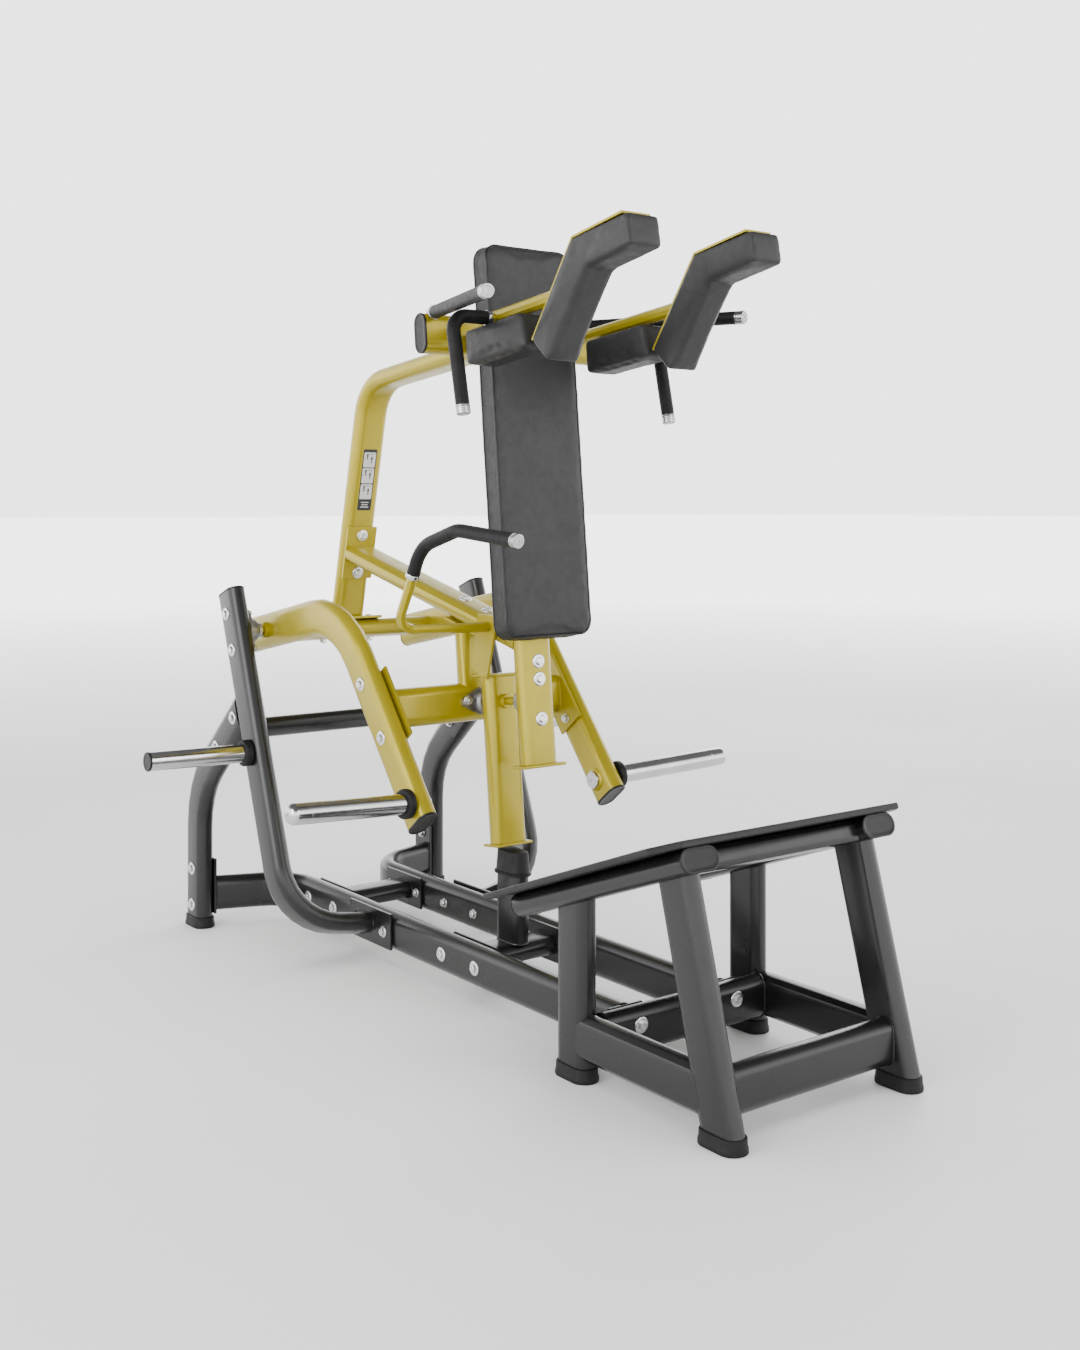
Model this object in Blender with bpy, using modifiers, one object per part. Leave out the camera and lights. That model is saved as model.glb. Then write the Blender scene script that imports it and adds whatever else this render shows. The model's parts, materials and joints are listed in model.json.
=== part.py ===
"""Plate-loaded lever squat machine: a bolted floor frame, a yellow lever that carries the pads,
and a swing-out stop leg. Metres, +Z up, user faces -Y, origin on the floor under the middle."""

import math

import bmesh
import bpy
from mathutils import Matrix, Vector

# ---------------------------------------------------------------- driving dimensions
FRONT = -1.065          # line of the front feet; every "back" distance is measured from it
TUBE_WIDE = 0.100       # flat-oval frame tube
TUBE_THIN = 0.050
GAP = 0.0003            # running gap between pieces that touch
PLATE = 0.008           # end plates and flanges
ARC_STEP = math.radians(12)
OVAL_SEGMENTS = 6       # facets round each rounded side of a flat-oval tube

STAND_X = 0.255         # legs of the foot stand
STAND_RAIL_Z = 0.095
STAND_FRONT_BACK = 0.042
STAND_FRONT_SLOPE = 0.268
STAND_REAR_BACK = 0.496
STAND_REAR_RAIL_BACK = 0.442
BEAM_X = 0.260
BEAM_SLOPE = 0.364      # foot plate and its beams rise towards the front
BEAM_FRONT_BACK = 0.110
BEAM_FRONT_Z = 0.537
BEAM_REAR_BACK = 0.660
FOOT_PLATE_X = 0.364
FOOT_PLATE_THICK = 0.014
BOOT_Z = 0.028          # rubber feet

RAIL_X = 0.142          # the two long floor rails
RAIL_Z = 0.090
REAR_LEG_X = 0.400
REAR_LEG_BACK = 2.080
UPRIGHT_X = 0.405
UPRIGHT_FOOT_BACK = 1.488
UPRIGHT_SLOPE = 0.382
UPRIGHT_TOP_Z = 0.978
LOW_CROSS_BACK = 1.782
FRONT_CROSS_BACK = 1.083
HIGH_CROSS_BACK = 1.867
HIGH_CROSS_Z = 0.591
STOP_POST_BACK = 1.080
STOP_POST_TOP_Z = 0.284
STORAGE_HORN_Z = 0.553
HORN_RADIUS = 0.025     # takes weight plates with a 50 mm bore
HORN_STEPS = 24

PIVOT_BACK = 1.822      # main hinge of the lever
PIVOT_Z = 0.871
PIVOT_SHAFT_RADIUS = 0.0125
ARM_X = 0.295
ARM_REAR_SLOPE = math.radians(11)
ARM_FRONT_SLOPE = math.radians(51)
CROSSBAR_BACK = 1.2455
CROSSBAR_Z = 0.7055
LEAN = 0.098            # the upright pieces of the lever lean back by this slope at rest
PAD_POST_BACK = 0.972
PAD_POST_FOOT_Z = 0.577
BRACE_SLOPE = 0.239
BRACE_FRONT_Z = 0.8755
REAR_POST_BACK = 1.925
REAR_POST_SLOPE = 0.2305
REAR_POST_FOOT_Z = 0.890
BOOM_SLOPE = 0.0998
BOOM_Z = 1.592          # height of the boom's centre 1.6 m behind the front feet
YOKE_BACK = 1.103
YOKE_Z = 1.643
YOKE_HALF = 0.262
YOKE_TUBE_X = 0.181
YOKE_TUBE_RADIUS = 0.017
GRIP_RADIUS = 0.0165
BACK_PAD_HALF = 0.133
BACK_PAD_THICK = 0.056
SHOULDER_PAD_HALF = 0.046

LEG_BACK = 1.136        # swing-out stop leg, where its shaft crosses it
LEG_AXIS_Z = 0.7175
LEG_FOOT_Z = 0.354
LEG_SHAFT_RADIUS = 0.010
GUSSET_X = 0.0574          # handle plate on the leg's top plate

X_AXIS, Y_AXIS, Z_AXIS = Vector((1, 0, 0)), Vector((0, 1, 0)), Vector((0, 0, 1))


def back(distance):
    """World Y of a point this far behind the line of the front feet."""
    return FRONT + distance


# ---------------------------------------------------------------- scene set-up
for old in list(bpy.data.objects):
    bpy.data.objects.remove(old, do_unlink=True)


def new_collection(name):
    group = bpy.data.collections.new(name)
    bpy.context.scene.collection.children.link(group)
    return group


PARTS = new_collection("lever_squat_machine")
CUTTERS = new_collection("cutters")


def material(name, colour, roughness, metallic=0.0):
    made = bpy.data.materials.new(name)
    made.use_nodes = True
    shader = made.node_tree.nodes["Principled BSDF"]
    shader.inputs["Base Color"].default_value = (*colour, 1.0)
    shader.inputs["Roughness"].default_value = roughness
    shader.inputs["Metallic"].default_value = metallic
    return made


BLACK = material("black_paint", (0.020, 0.020, 0.021), 0.30)
YELLOW = material("yellow_paint", (0.46, 0.36, 0.025), 0.30)
RUBBER = material("black_rubber", (0.016, 0.016, 0.016), 0.65)
CHROME = material("chrome", (0.80, 0.80, 0.80), 0.12, 1.0)
STEEL = material("cast_steel", (0.42, 0.42, 0.42), 0.35, 1.0)
LEATHER = material("charcoal_upholstery", (0.055, 0.055, 0.056), 0.55)
GRIP = material("black_grip", (0.012, 0.012, 0.012), 0.70)


# ---------------------------------------------------------------- planes that paths are drawn in
def plane(origin, u_axis, v_axis):
    """Matrix of a drawing plane: path points are (u, v), and its normal is u x v."""
    normal = u_axis.cross(v_axis)
    frame = Matrix((u_axis, v_axis, normal)).transposed().to_4x4()
    return Matrix.Translation(origin) @ frame


def side_plane(x):
    """Points are (back distance, height)."""
    return plane(Vector((x, FRONT, 0)), Y_AXIS, Z_AXIS)


def floor_plane(z, side=1):
    """Points are (distance from the middle, back distance)."""
    return plane(Vector((0, FRONT, z)), X_AXIS * side, Y_AXIS)


def rounded(corners, radius):
    """Corner points joined by straight runs, with every inner corner turned on the radius."""
    points = [Vector(corners[0])]
    for before, corner, after in zip(corners, corners[1:], corners[2:]):
        corner = Vector(corner)
        into = (corner - Vector(before)).normalized()
        out = (Vector(after) - corner).normalized()
        turn = into.angle(out)
        reach = radius * math.tan(turn / 2)
        centre = corner + (out - into).normalized() * radius / math.cos(turn / 2)
        start, end = corner - into * reach - centre, corner + out * reach - centre
        count = max(2, round(turn / ARC_STEP))
        for i in range(count + 1):
            points.append(centre + start.slerp(end, i / count).normalized() * radius)
    points.append(Vector(corners[-1]))
    return points


# ---------------------------------------------------------------- solids
def link(name, data, matrix, look, group=PARTS):
    made = bpy.data.objects.new(name, data)
    made.matrix_world = matrix
    group.objects.link(made)
    if look:
        data.materials.clear()
        data.materials.append(look)
    return made


def poly_curve(name, points, cyclic, dimensions):
    data = bpy.data.curves.new(name, "CURVE")
    data.dimensions = dimensions
    data.render_resolution_u = 0
    line = data.splines.new("POLY")
    line.points.add(len(points) - 1)
    for slot, point in zip(line.points, points):
        slot.co = (*point, 1.0) if len(point) == 3 else (*point, 0.0, 1.0)
    line.use_cyclic_u = cyclic
    return data


def as_mesh(holder, look):
    """A curve object made a mesh object of the same name and place, with its caps welded."""
    bpy.context.view_layer.update()
    evaluated = holder.evaluated_get(bpy.context.evaluated_depsgraph_get())
    data = bpy.data.meshes.new_from_object(evaluated)
    shape = bmesh.new()
    shape.from_mesh(data)
    bmesh.ops.remove_doubles(shape, verts=shape.verts, dist=0.00001)
    bmesh.ops.recalc_face_normals(shape, faces=shape.faces)
    shape.to_mesh(data)
    shape.free()
    name, matrix, group = holder.name, holder.matrix_world.copy(), holder.users_collection[0]
    bpy.data.objects.remove(holder, do_unlink=True)
    return link(name, data, matrix, look, group)


def oval_outline(along_u, along_v):
    """Outline of a flat-oval section: two half rounds joined by flats."""
    radius = min(along_u, along_v) / 2
    reach = max(along_u, along_v) / 2 - radius
    wide_u = along_u > along_v
    points = []
    for end in (0, 1):
        for i in range(OVAL_SEGMENTS + 1):
            angle = math.pi * (end + i / OVAL_SEGMENTS) - (math.pi / 2 if wide_u else 0)
            offset = reach if end == 0 else -reach
            shift = (offset, 0) if wide_u else (0, offset)
            points.append((shift[0] + radius * math.cos(angle), shift[1] + radius * math.sin(angle)))
    return points


def oval_tube(name, path, frame, in_plane, across, look, grow=0.0, group=PARTS):
    """A flat-oval tube along a planar path: in_plane is its size in the drawing plane."""
    section = poly_curve(name + "_section", oval_outline(in_plane + 2 * grow, across + 2 * grow), True, "2D")
    profile = link(name + "_section", section, Matrix.Identity(4), None, CUTTERS)
    profile.hide_render = True
    profile.display_type = "WIRE"
    data = poly_curve(name, [(point[0], point[1]) for point in path], False, "2D")
    data.fill_mode = "NONE"
    data.bevel_mode = "OBJECT"
    data.bevel_object = profile
    data.use_fill_caps = True
    tube = as_mesh(link(name, data, frame, None, group), look)
    bpy.data.objects.remove(profile, do_unlink=True)
    return tube


def round_tube(name, path, radius, look, group=PARTS, resolution=2):
    data = poly_curve(name, path, False, "3D")
    data.bevel_depth = radius
    data.bevel_resolution = resolution
    data.use_fill_caps = True
    return as_mesh(link(name, data, Matrix.Identity(4), None, group), look)


def box(name, size, matrix, look, round_edges=0.0, group=PARTS):
    data = bpy.data.meshes.new(name)
    shape = bmesh.new()
    bmesh.ops.create_cube(shape, size=1.0)
    bmesh.ops.scale(shape, vec=size, verts=shape.verts)
    shape.to_mesh(data)
    shape.free()
    made = link(name, data, matrix, look, group)
    if round_edges:
        bevel = made.modifiers.new("edges", "BEVEL")
        bevel.width = round_edges
        bevel.segments = 2
        bevel.limit_method = "ANGLE"
    return made


def slab(name, outline, thick, frame, look, round_edges=0.0, group=PARTS):
    """A flat outline in the drawing plane with thickness either side of it."""
    data = poly_curve(name, outline, True, "2D")
    data.fill_mode = "BOTH"
    data.extrude = thick / 2
    made = as_mesh(link(name, data, frame, None, group), look)
    if round_edges:
        bevel = made.modifiers.new("edges", "BEVEL")
        bevel.width = round_edges
        bevel.segments = 2
        bevel.limit_method = "ANGLE"
    return made


def turned(name, profile, matrix, look, steps=20, group=PARTS):
    """A profile of (radius, height) points, bottom to top, turned about its local Z."""
    data = bpy.data.meshes.new(name)
    shape = bmesh.new()
    corners = [shape.verts.new((radius, 0, height)) for radius, height in reversed(profile)]
    for first, second in zip(corners, corners[1:]):
        shape.edges.new((first, second))
    shape.to_mesh(data)
    shape.free()
    made = link(name, data, matrix, look, group)
    screw = made.modifiers.new("turn", "SCREW")
    screw.steps = screw.render_steps = steps
    screw.use_merge_vertices = True
    screw.merge_threshold = 0.00001
    return made


def facing(origin, direction):
    """Matrix at the origin whose local Z points along the direction."""
    return Matrix.Translation(origin) @ Vector(direction).to_track_quat("Z", "Y").to_matrix().to_4x4()


def bake(made):
    """Applies an object's modifiers, so that it can take part in a clean Boolean."""
    bpy.context.view_layer.update()
    evaluated = made.evaluated_get(bpy.context.evaluated_depsgraph_get())
    data = bpy.data.meshes.new_from_object(evaluated)
    made.modifiers.clear()
    made.data = data
    return made


def boolean(target, other, operation):
    cut = target.modifiers.new(operation.lower(), "BOOLEAN")
    cut.operation = operation
    cut.solver = "EXACT"
    cut.object = other
    bake(target)
    bpy.data.objects.remove(other, do_unlink=True)


def cut_away(target, *cutters):
    for cutter in cutters:
        boolean(target, bake(cutter), "DIFFERENCE")
    return target


def weld_on(target, *pieces):
    for piece in pieces:
        boolean(target, bake(piece), "UNION")
    return target


class Tube:
    """A flat-oval tube that can be built, and used again, slightly larger, to cope another one."""

    def __init__(self, name, path, frame, in_plane, across, look=BLACK):
        self.spec = (path, frame, in_plane, across)
        self.name, self.look = name, look

    def build(self):
        return oval_tube(self.name, *self.spec, self.look)

    def cutter(self):
        return oval_tube(self.name + "_cutter", *self.spec, None, GAP, CUTTERS)


def floor_cutter(name, height):
    """Everything below the height, to end a leaning leg level."""
    return box(name, (3, 3, 1), Matrix.Translation((0, 0, height - 0.5)), None, 0, CUTTERS)


def side_name(side):
    return "left" if side < 0 else "right"


# ---------------------------------------------------------------- foot stand
def beam_z(distance):
    return BEAM_FRONT_Z - BEAM_SLOPE * (distance - BEAM_FRONT_BACK)


def stand_leg_front_back(height):
    return STAND_FRONT_BACK + STAND_FRONT_SLOPE * height


def boot(name, x, distance):
    """A flat-oval rubber foot that a leg's end stands on."""
    path = [(distance, 0.0), (distance, BOOT_Z)]
    return oval_tube(name, path, side_plane(x), TUBE_WIDE + 0.012, TUBE_THIN + 0.012, RUBBER)


def foot_stand():
    beams, fronts, rears = {}, {}, {}
    for side in (-1, 1):
        name = side_name(side)
        x = side * STAND_X
        beam_path = [(BEAM_FRONT_BACK, beam_z(BEAM_FRONT_BACK)), (BEAM_REAR_BACK, beam_z(BEAM_REAR_BACK))]
        beam = Tube("stand_beam_" + name, beam_path, side_plane(side * BEAM_X), TUBE_THIN, TUBE_WIDE)
        front = Tube("stand_front_leg_" + name,
                     [(stand_leg_front_back(-0.05), -0.05), (stand_leg_front_back(0.50), 0.50)],
                     side_plane(x), TUBE_WIDE, TUBE_THIN)
        rear = Tube("stand_rear_leg_" + name,
                    [(STAND_REAR_BACK, BOOT_Z + GAP), (STAND_REAR_BACK, beam_z(STAND_REAR_BACK))],
                    side_plane(x), TUBE_WIDE, TUBE_THIN)
        beams[side], fronts[side], rears[side] = beam, front, rear
        beam.build()
        cut_away(front.build(), beam.cutter(), floor_cutter("stand_floor", BOOT_Z + GAP))
        cut_away(rear.build(), beam.cutter())
        rail_path = [(stand_leg_front_back(STAND_RAIL_Z), STAND_RAIL_Z), (STAND_REAR_BACK, STAND_RAIL_Z)]
        rail = Tube("stand_rail_" + name, rail_path, side_plane(x), TUBE_WIDE, TUBE_THIN)
        cut_away(rail.build(), front.cutter(), rear.cutter())
        boot("foot_stand_front_" + name, x, stand_leg_front_back(BOOT_Z))
        boot("foot_stand_rear_" + name, x, STAND_REAR_BACK)
    cross_rails(fronts, rears)
    front_cross_beam(beams)
    foot_plate()


def across_plane(distance, height, slope_up_back=0.0):
    """A plane for tubes that run across the machine: points are (x, offset up)."""
    up = Vector((0, slope_up_back, 1)).normalized()
    return plane(Vector((0, back(distance), height)), X_AXIS, up)


def cross_rails(fronts, rears):
    """The front and rear bottom rails of the stand, between its legs."""
    reach = STAND_X - TUBE_THIN / 2 - GAP
    for name, distance in (("front", stand_leg_front_back(STAND_RAIL_Z)), ("rear", STAND_REAR_RAIL_BACK)):
        oval_tube("stand_cross_rail_" + name, [(-reach, 0), (reach, 0)],
                  across_plane(distance, STAND_RAIL_Z), TUBE_WIDE, TUBE_THIN, BLACK)


def front_cross_beam(beams):
    distance = BEAM_FRONT_BACK + 0.062
    frame = across_plane(distance, beam_z(distance), 1 / BEAM_SLOPE * -1)
    reach = STAND_X - TUBE_THIN / 2 - 0.001
    beam = oval_tube("stand_cross_beam", [(-reach, 0), (reach, 0)], frame, TUBE_WIDE, TUBE_THIN, BLACK)
    cut_away(beam, beams[-1].cutter(), beams[1].cutter())


def foot_plate():
    """The inclined plate that the user stands on, its front corners cut off."""
    tilt = math.atan(BEAM_SLOPE)
    front_y, rear_y, corner = 0.100, 0.690, 0.050
    length = (rear_y - front_y) / math.cos(tilt)
    outline = [(-FOOT_PLATE_X, length), (-FOOT_PLATE_X, corner), (-FOOT_PLATE_X + corner, 0),
               (FOOT_PLATE_X - corner, 0), (FOOT_PLATE_X, corner), (FOOT_PLATE_X, length)]
    lift = (TUBE_THIN / 2 + GAP + FOOT_PLATE_THICK / 2) / math.cos(tilt)
    origin = Vector((0, back(front_y), beam_z(front_y) + lift))
    along = Vector((0, math.cos(tilt), -math.sin(tilt)))
    slab("foot_plate", outline, FOOT_PLATE_THICK, plane(origin, X_AXIS, along), BLACK, 0.003)


# ---------------------------------------------------------------- floor frame
def floor_rails():
    """Two long rails that turn outward at the rear and end in plates on the rear legs."""
    for side in (-1, 1):
        name = side_name(side)
        start = STAND_REAR_RAIL_BACK + TUBE_THIN / 2 + GAP + PLATE
        end_x = REAR_LEG_X - TUBE_THIN / 2 - GAP - PLATE
        turn_back = 1.985
        path = rounded([(RAIL_X, start - 0.002), (RAIL_X, turn_back),
                        (end_x + 0.02, turn_back + (end_x + 0.02 - RAIL_X) * BEAM_SLOPE)], 0.150)
        rail = oval_tube("floor_rail_" + name, path, floor_plane(RAIL_Z, side), TUBE_THIN, TUBE_WIDE, BLACK)
        trim = box("trim", (0.2, 0.6, 0.4), Matrix.Translation((side * (end_x + 0.1), back(2.1), RAIL_Z)),
                   None, 0, CUTTERS)
        cut_away(rail, trim)
        front_plate = box("front_plate", (0.096, PLATE, 0.098),
                          Matrix.Translation((side * RAIL_X, back(start - PLATE / 2), RAIL_Z)), BLACK, 0.002)
        rear_spot = Matrix.Translation((side * (end_x + PLATE / 2 - 0.0001), back(REAR_LEG_BACK), 0.116))
        rear_plate = box("rear_plate", (PLATE, 0.086, 0.160), rear_spot, BLACK, 0.002)
        weld_on(rail, front_plate, rear_plate)


def upright_direction():
    return Vector((0, UPRIGHT_SLOPE, 1)).normalized()


def upright_tube(side):
    """Runs out from the rail, turns up, and leans back to the pivot bearing."""
    along = upright_direction()
    origin = Vector((0, back(UPRIGHT_FOOT_BACK), 0))
    frame = plane(origin, X_AXIS * side, along)
    foot_x = RAIL_X + TUBE_THIN / 2 + GAP + PLATE
    top = UPRIGHT_TOP_Z / along.z
    path = rounded([(foot_x - 0.001, 0.0955), (UPRIGHT_X, 0.1336), (UPRIGHT_X, top)], 0.165)
    return Tube("upright_" + side_name(side), path, frame, TUBE_THIN, TUBE_WIDE)


def uprights():
    for side in (-1, 1):
        tube = upright_tube(side)
        upright = tube.build()
        foot_x = side * (RAIL_X + TUBE_THIN / 2 + GAP + PLATE / 2)
        plate = box("upright_plate", (PLATE, 0.215, 0.096),
                    Matrix.Translation((foot_x, back(1.4965), RAIL_Z + 0.003)), BLACK, 0.002)
        weld_on(upright, plate)
        rear_leg(side, tube)
        storage_horn(side)
        pivot_bearing(side)


def rear_leg(side, upright):
    """Vertical at the floor, then leaning forward to stand against the back of the upright."""
    path = rounded([(REAR_LEG_BACK, BOOT_Z + GAP), (REAR_LEG_BACK, 0.402), (1.735, 0.7005)], 0.250)
    frame = side_plane(side * REAR_LEG_X)
    leg = oval_tube("rear_leg_" + side_name(side), path, frame, TUBE_WIDE, TUBE_THIN, BLACK)
    along = upright_direction()
    face = Vector((side * REAR_LEG_X, back(UPRIGHT_FOOT_BACK), 0)) + along * 0.75
    normal = X_AXIS.cross(along)
    wedge = box("wedge", (0.2, 0.4, 0.8),
                plane(face + normal * (0.2 - TUBE_WIDE / 2 - GAP), X_AXIS, -normal), None, 0, CUTTERS)
    cut_away(leg, wedge)
    boot("foot_rear_" + side_name(side), side * REAR_LEG_X, REAR_LEG_BACK)


def cross_members():
    """Flat-oval members between the two sides, each with a bolting plate at either end."""
    reach = RAIL_X - TUBE_THIN / 2 - GAP
    for name, distance in (("rear", LOW_CROSS_BACK), ("front", FRONT_CROSS_BACK)):
        member = oval_tube("cross_member_" + name, [(-reach + 0.001, 0), (reach - 0.001, 0)],
                           across_plane(distance, RAIL_Z), TUBE_THIN, TUBE_WIDE, BLACK)
        for side in (-1, 1):
            spot = Matrix.Translation((side * (reach - PLATE / 2), back(distance), RAIL_Z))
            weld_on(member, box("end_plate", (PLATE, 0.190, 0.090), spot, BLACK, 0.002))
    reach = REAR_LEG_X - TUBE_THIN / 2 - GAP
    frame = across_plane(HIGH_CROSS_BACK, HIGH_CROSS_Z, -1.074)
    high = oval_tube("rear_crossbar", [(-reach + 0.001, 0), (reach - 0.001, 0)], frame, 0.070, 0.040, BLACK)
    tilt = Matrix.Rotation(math.radians(-43), 4, "X")
    for side in (-1, 1):
        spot = Matrix.Translation((side * (reach - PLATE / 2), back(HIGH_CROSS_BACK), HIGH_CROSS_Z))
        weld_on(high, box("end_plate", (PLATE, 0.190, 0.084), spot @ tilt, BLACK, 0.002))


def stop_post():
    """A short post on the front cross member, with a rubber bumper for the stop leg."""
    foot = RAIL_Z + TUBE_THIN / 2 + GAP
    oval_tube("stop_post", [(STOP_POST_BACK, foot), (STOP_POST_BACK, STOP_POST_TOP_Z)],
              side_plane(0), TUBE_WIDE, TUBE_THIN, BLACK)
    base = STOP_POST_TOP_Z + GAP
    flange = oval_tube("stop_bumper", [(STOP_POST_BACK, base), (STOP_POST_BACK, base + 0.009)],
                       side_plane(0), 0.116, 0.066, RUBBER)
    body = oval_tube("bumper_body", [(STOP_POST_BACK, base + 0.005), (STOP_POST_BACK, LEG_FOOT_Z - 0.0085)],
                     side_plane(0), 0.102, 0.056, RUBBER)
    for corner in body.data.vertices:
        if corner.co.y > base + 0.02:
            corner.co.x = STOP_POST_BACK + (corner.co.x - STOP_POST_BACK) * 0.93
            corner.co.z *= 0.88
    weld_on(flange, body)


def storage_horn(side):
    """The plate storage horn on the outside of the upright, with its rubber collar."""
    distance = UPRIGHT_FOOT_BACK + UPRIGHT_SLOPE * STORAGE_HORN_Z
    root = Vector((side * (UPRIGHT_X + TUBE_THIN / 2 + GAP), back(distance), STORAGE_HORN_Z))
    matrix = facing(root, (side, 0, 0.015))
    collar, rod, length = 0.0355, HORN_RADIUS, 0.290
    profile = [(0, 0.001), (collar, 0.001), (collar, 0.023), (rod, 0.023), (rod, length), (0, length)]
    turned("storage_horn_" + side_name(side), profile, matrix, CHROME, HORN_STEPS)


def rhombus(length, width, end_radius, waist_radius):
    """Outline of a two-bolt bearing flange: a round waist drawn in to two rounded ends."""
    points = []
    reach = length / 2 - end_radius
    for end in (0, 1):
        for centre, radius, middle in ((reach, end_radius, 0.0), (0.0, waist_radius, math.pi / 2)):
            for step in (-2, -1, 0, 1, 2):
                angle = end * math.pi + middle + step * math.radians(22 if radius == end_radius else 12)
                x = centre * math.cos(end * math.pi) + radius * math.cos(angle)
                points.append((x, min(width / 2, max(-width / 2, radius * math.sin(angle)))))
    return points


def flange_bearing(name, origin, outward, long_axis, shaft_radius):
    """A two-bolt flange bearing: flange, housing and a bore with running clearance."""
    outward, long_axis = Vector(outward).normalized(), Vector(long_axis).normalized()
    frame = plane(origin, long_axis, outward.cross(long_axis))
    flange = slab(name, rhombus(0.128, 0.072, 0.014, 0.036), 0.012,
                  Matrix.Translation(outward * 0.006) @ frame, STEEL)
    matrix = facing(origin, outward)
    housing = [(0, 0.002), (0.034, 0.002), (0.031, 0.024), (0.024, 0.030), (0, 0.030)]
    weld_on(flange, turned("housing", housing, matrix, STEEL, 24))
    bore = turned("bore", [(0, -0.02), (shaft_radius + GAP, -0.02), (shaft_radius + GAP, 0.05), (0, 0.05)],
                  matrix, None, 20, CUTTERS)
    return cut_away(flange, bore)


def pivot_point(x):
    return Vector((x, back(PIVOT_BACK), PIVOT_Z))


def pivot_bearing(side):
    x = side * (UPRIGHT_X - TUBE_THIN / 2 - GAP)
    flange_bearing("pivot_bearing_" + side_name(side), pivot_point(x), (-side, 0, 0),
                   upright_direction(), PIVOT_SHAFT_RADIUS)


# ---------------------------------------------------------------- lever
def arm_points():
    """Corner points of an arm's centre line: rear end, bend, front lower end."""
    pivot, bend = Vector((PIVOT_BACK, PIVOT_Z)), Vector((1.440, 0.945))
    rear = pivot + 0.242 * Vector((math.cos(ARM_REAR_SLOPE), -math.sin(ARM_REAR_SLOPE)))
    front = bend - 0.630 * Vector((math.cos(ARM_FRONT_SLOPE), math.sin(ARM_FRONT_SLOPE)))
    return [rear, bend, front]


def arms():
    """The two bent arms, each with its shaft stub welded on at the main hinge."""
    for side in (-1, 1):
        arm = oval_tube("lever_arm_" + side_name(side), rounded(arm_points(), 0.250),
                        side_plane(side * ARM_X), TUBE_WIDE, TUBE_THIN, YELLOW)
        face = side * (ARM_X + TUBE_THIN / 2)
        boss, shaft, reach = 0.022, PIVOT_SHAFT_RADIUS, 0.057
        profile = [(0, -0.004), (boss, -0.004), (boss, 0.010), (shaft, 0.012), (shaft, reach), (0, reach)]
        weld_on(arm, turned("pivot_shaft", profile, facing(pivot_point(face), (side, 0, 0)), YELLOW, 20))
        weight_horn(side)


def weight_horn(side):
    """The loading horn on the lower end of an arm, tipped slightly up and forward."""
    direction = Vector((side * 0.327, -0.046, 0.023)).normalized()
    on_arm = Vector((side * (ARM_X + TUBE_THIN / 2), back(1.063), 0.5020))
    root = on_arm + direction * 0.0045
    collar, rod, length = 0.0365, HORN_RADIUS, 0.336
    profile = [(0, 0), (collar, 0), (collar, 0.018), (rod, 0.018), (rod, length),
               (rod - 0.006, length + 0.014), (0, length + 0.017)]
    turned("weight_horn_" + side_name(side), profile, facing(root, direction), CHROME, HORN_STEPS)


def lean_back(distance, from_z, z):
    """Back distance at height z of a piece that leans with the lever."""
    return distance + LEAN * (z - from_z)


def crossbar():
    """The lower crossbar of the lever, with its end plates and the tube that props the brace."""
    reach = ARM_X - TUBE_THIN / 2 - GAP
    bar = oval_tube("lever_crossbar", [(-reach + 0.001, 0), (reach - 0.001, 0)],
                    across_plane(CROSSBAR_BACK, CROSSBAR_Z, LEAN), TUBE_WIDE, TUBE_THIN, YELLOW)
    along = Vector((0, math.cos(ARM_FRONT_SLOPE), math.sin(ARM_FRONT_SLOPE)))
    for side in (-1, 1):
        centre = Vector((side * (reach - PLATE / 2), back(CROSSBAR_BACK - 0.006), CROSSBAR_Z))
        spot = plane(centre, X_AXIS, along)
        weld_on(bar, box("end_plate", (PLATE, 0.200, 0.098), spot, YELLOW, 0.002))
    top_z = brace_z(1.25) - TUBE_THIN / 2 - PLATE - 0.004
    path = [(lean_back(CROSSBAR_BACK, CROSSBAR_Z, z), z) for z in (0.735, top_z)]
    prop = oval_tube("prop", path, side_plane(0), TUBE_THIN, TUBE_WIDE, YELLOW)
    tilt = Matrix.Rotation(math.atan(BRACE_SLOPE), 4, "X")
    plate_z = brace_z(1.25) - TUBE_THIN / 2 / math.cos(math.atan(BRACE_SLOPE)) - PLATE / 2 - 0.0008
    plate = box("prop_plate", (0.100, 0.150, PLATE), Matrix.Translation((0, back(1.25), plate_z)) @ tilt,
                YELLOW, 0.002)
    weld_on(bar, prop, plate)


def brace_z(distance):
    return BRACE_FRONT_Z + BRACE_SLOPE * (distance - 1.0)


def cross_tube():
    """The tube between the arms, just behind the pivot, that carries the rear post."""
    reach = ARM_X - TUBE_THIN / 2 - GAP
    distance = 1.930
    z = PIVOT_Z - (distance - PIVOT_BACK) * math.tan(ARM_REAR_SLOPE)
    frame = across_plane(distance, z, math.tan(ARM_REAR_SLOPE))
    oval_tube("lever_cross_tube", [(-reach, 0), (reach, 0)], frame, TUBE_THIN, TUBE_WIDE, YELLOW)
    return distance, z


def post_line(z):
    return REAR_POST_BACK - REAR_POST_SLOPE * (z - REAR_POST_FOOT_Z)


def boom_z(distance):
    return BOOM_Z + BOOM_SLOPE * (1.6 - distance)


YOKE_TUBE = Tube("yoke_crossbar", [(-YOKE_HALF, 0), (YOKE_HALF, 0)],
                 across_plane(YOKE_BACK, YOKE_Z, LEAN), TUBE_WIDE, TUBE_THIN, YELLOW)
PAD_POST_TOP_Z = YOKE_Z - TUBE_WIDE / 2 - 0.008
PAD_POST = Tube("pad_post",
                [(PAD_POST_BACK, PAD_POST_FOOT_Z),
                 (lean_back(PAD_POST_BACK, PAD_POST_FOOT_Z, PAD_POST_TOP_Z), PAD_POST_TOP_Z)],
                side_plane(0), TUBE_THIN, TUBE_WIDE, YELLOW)


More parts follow.
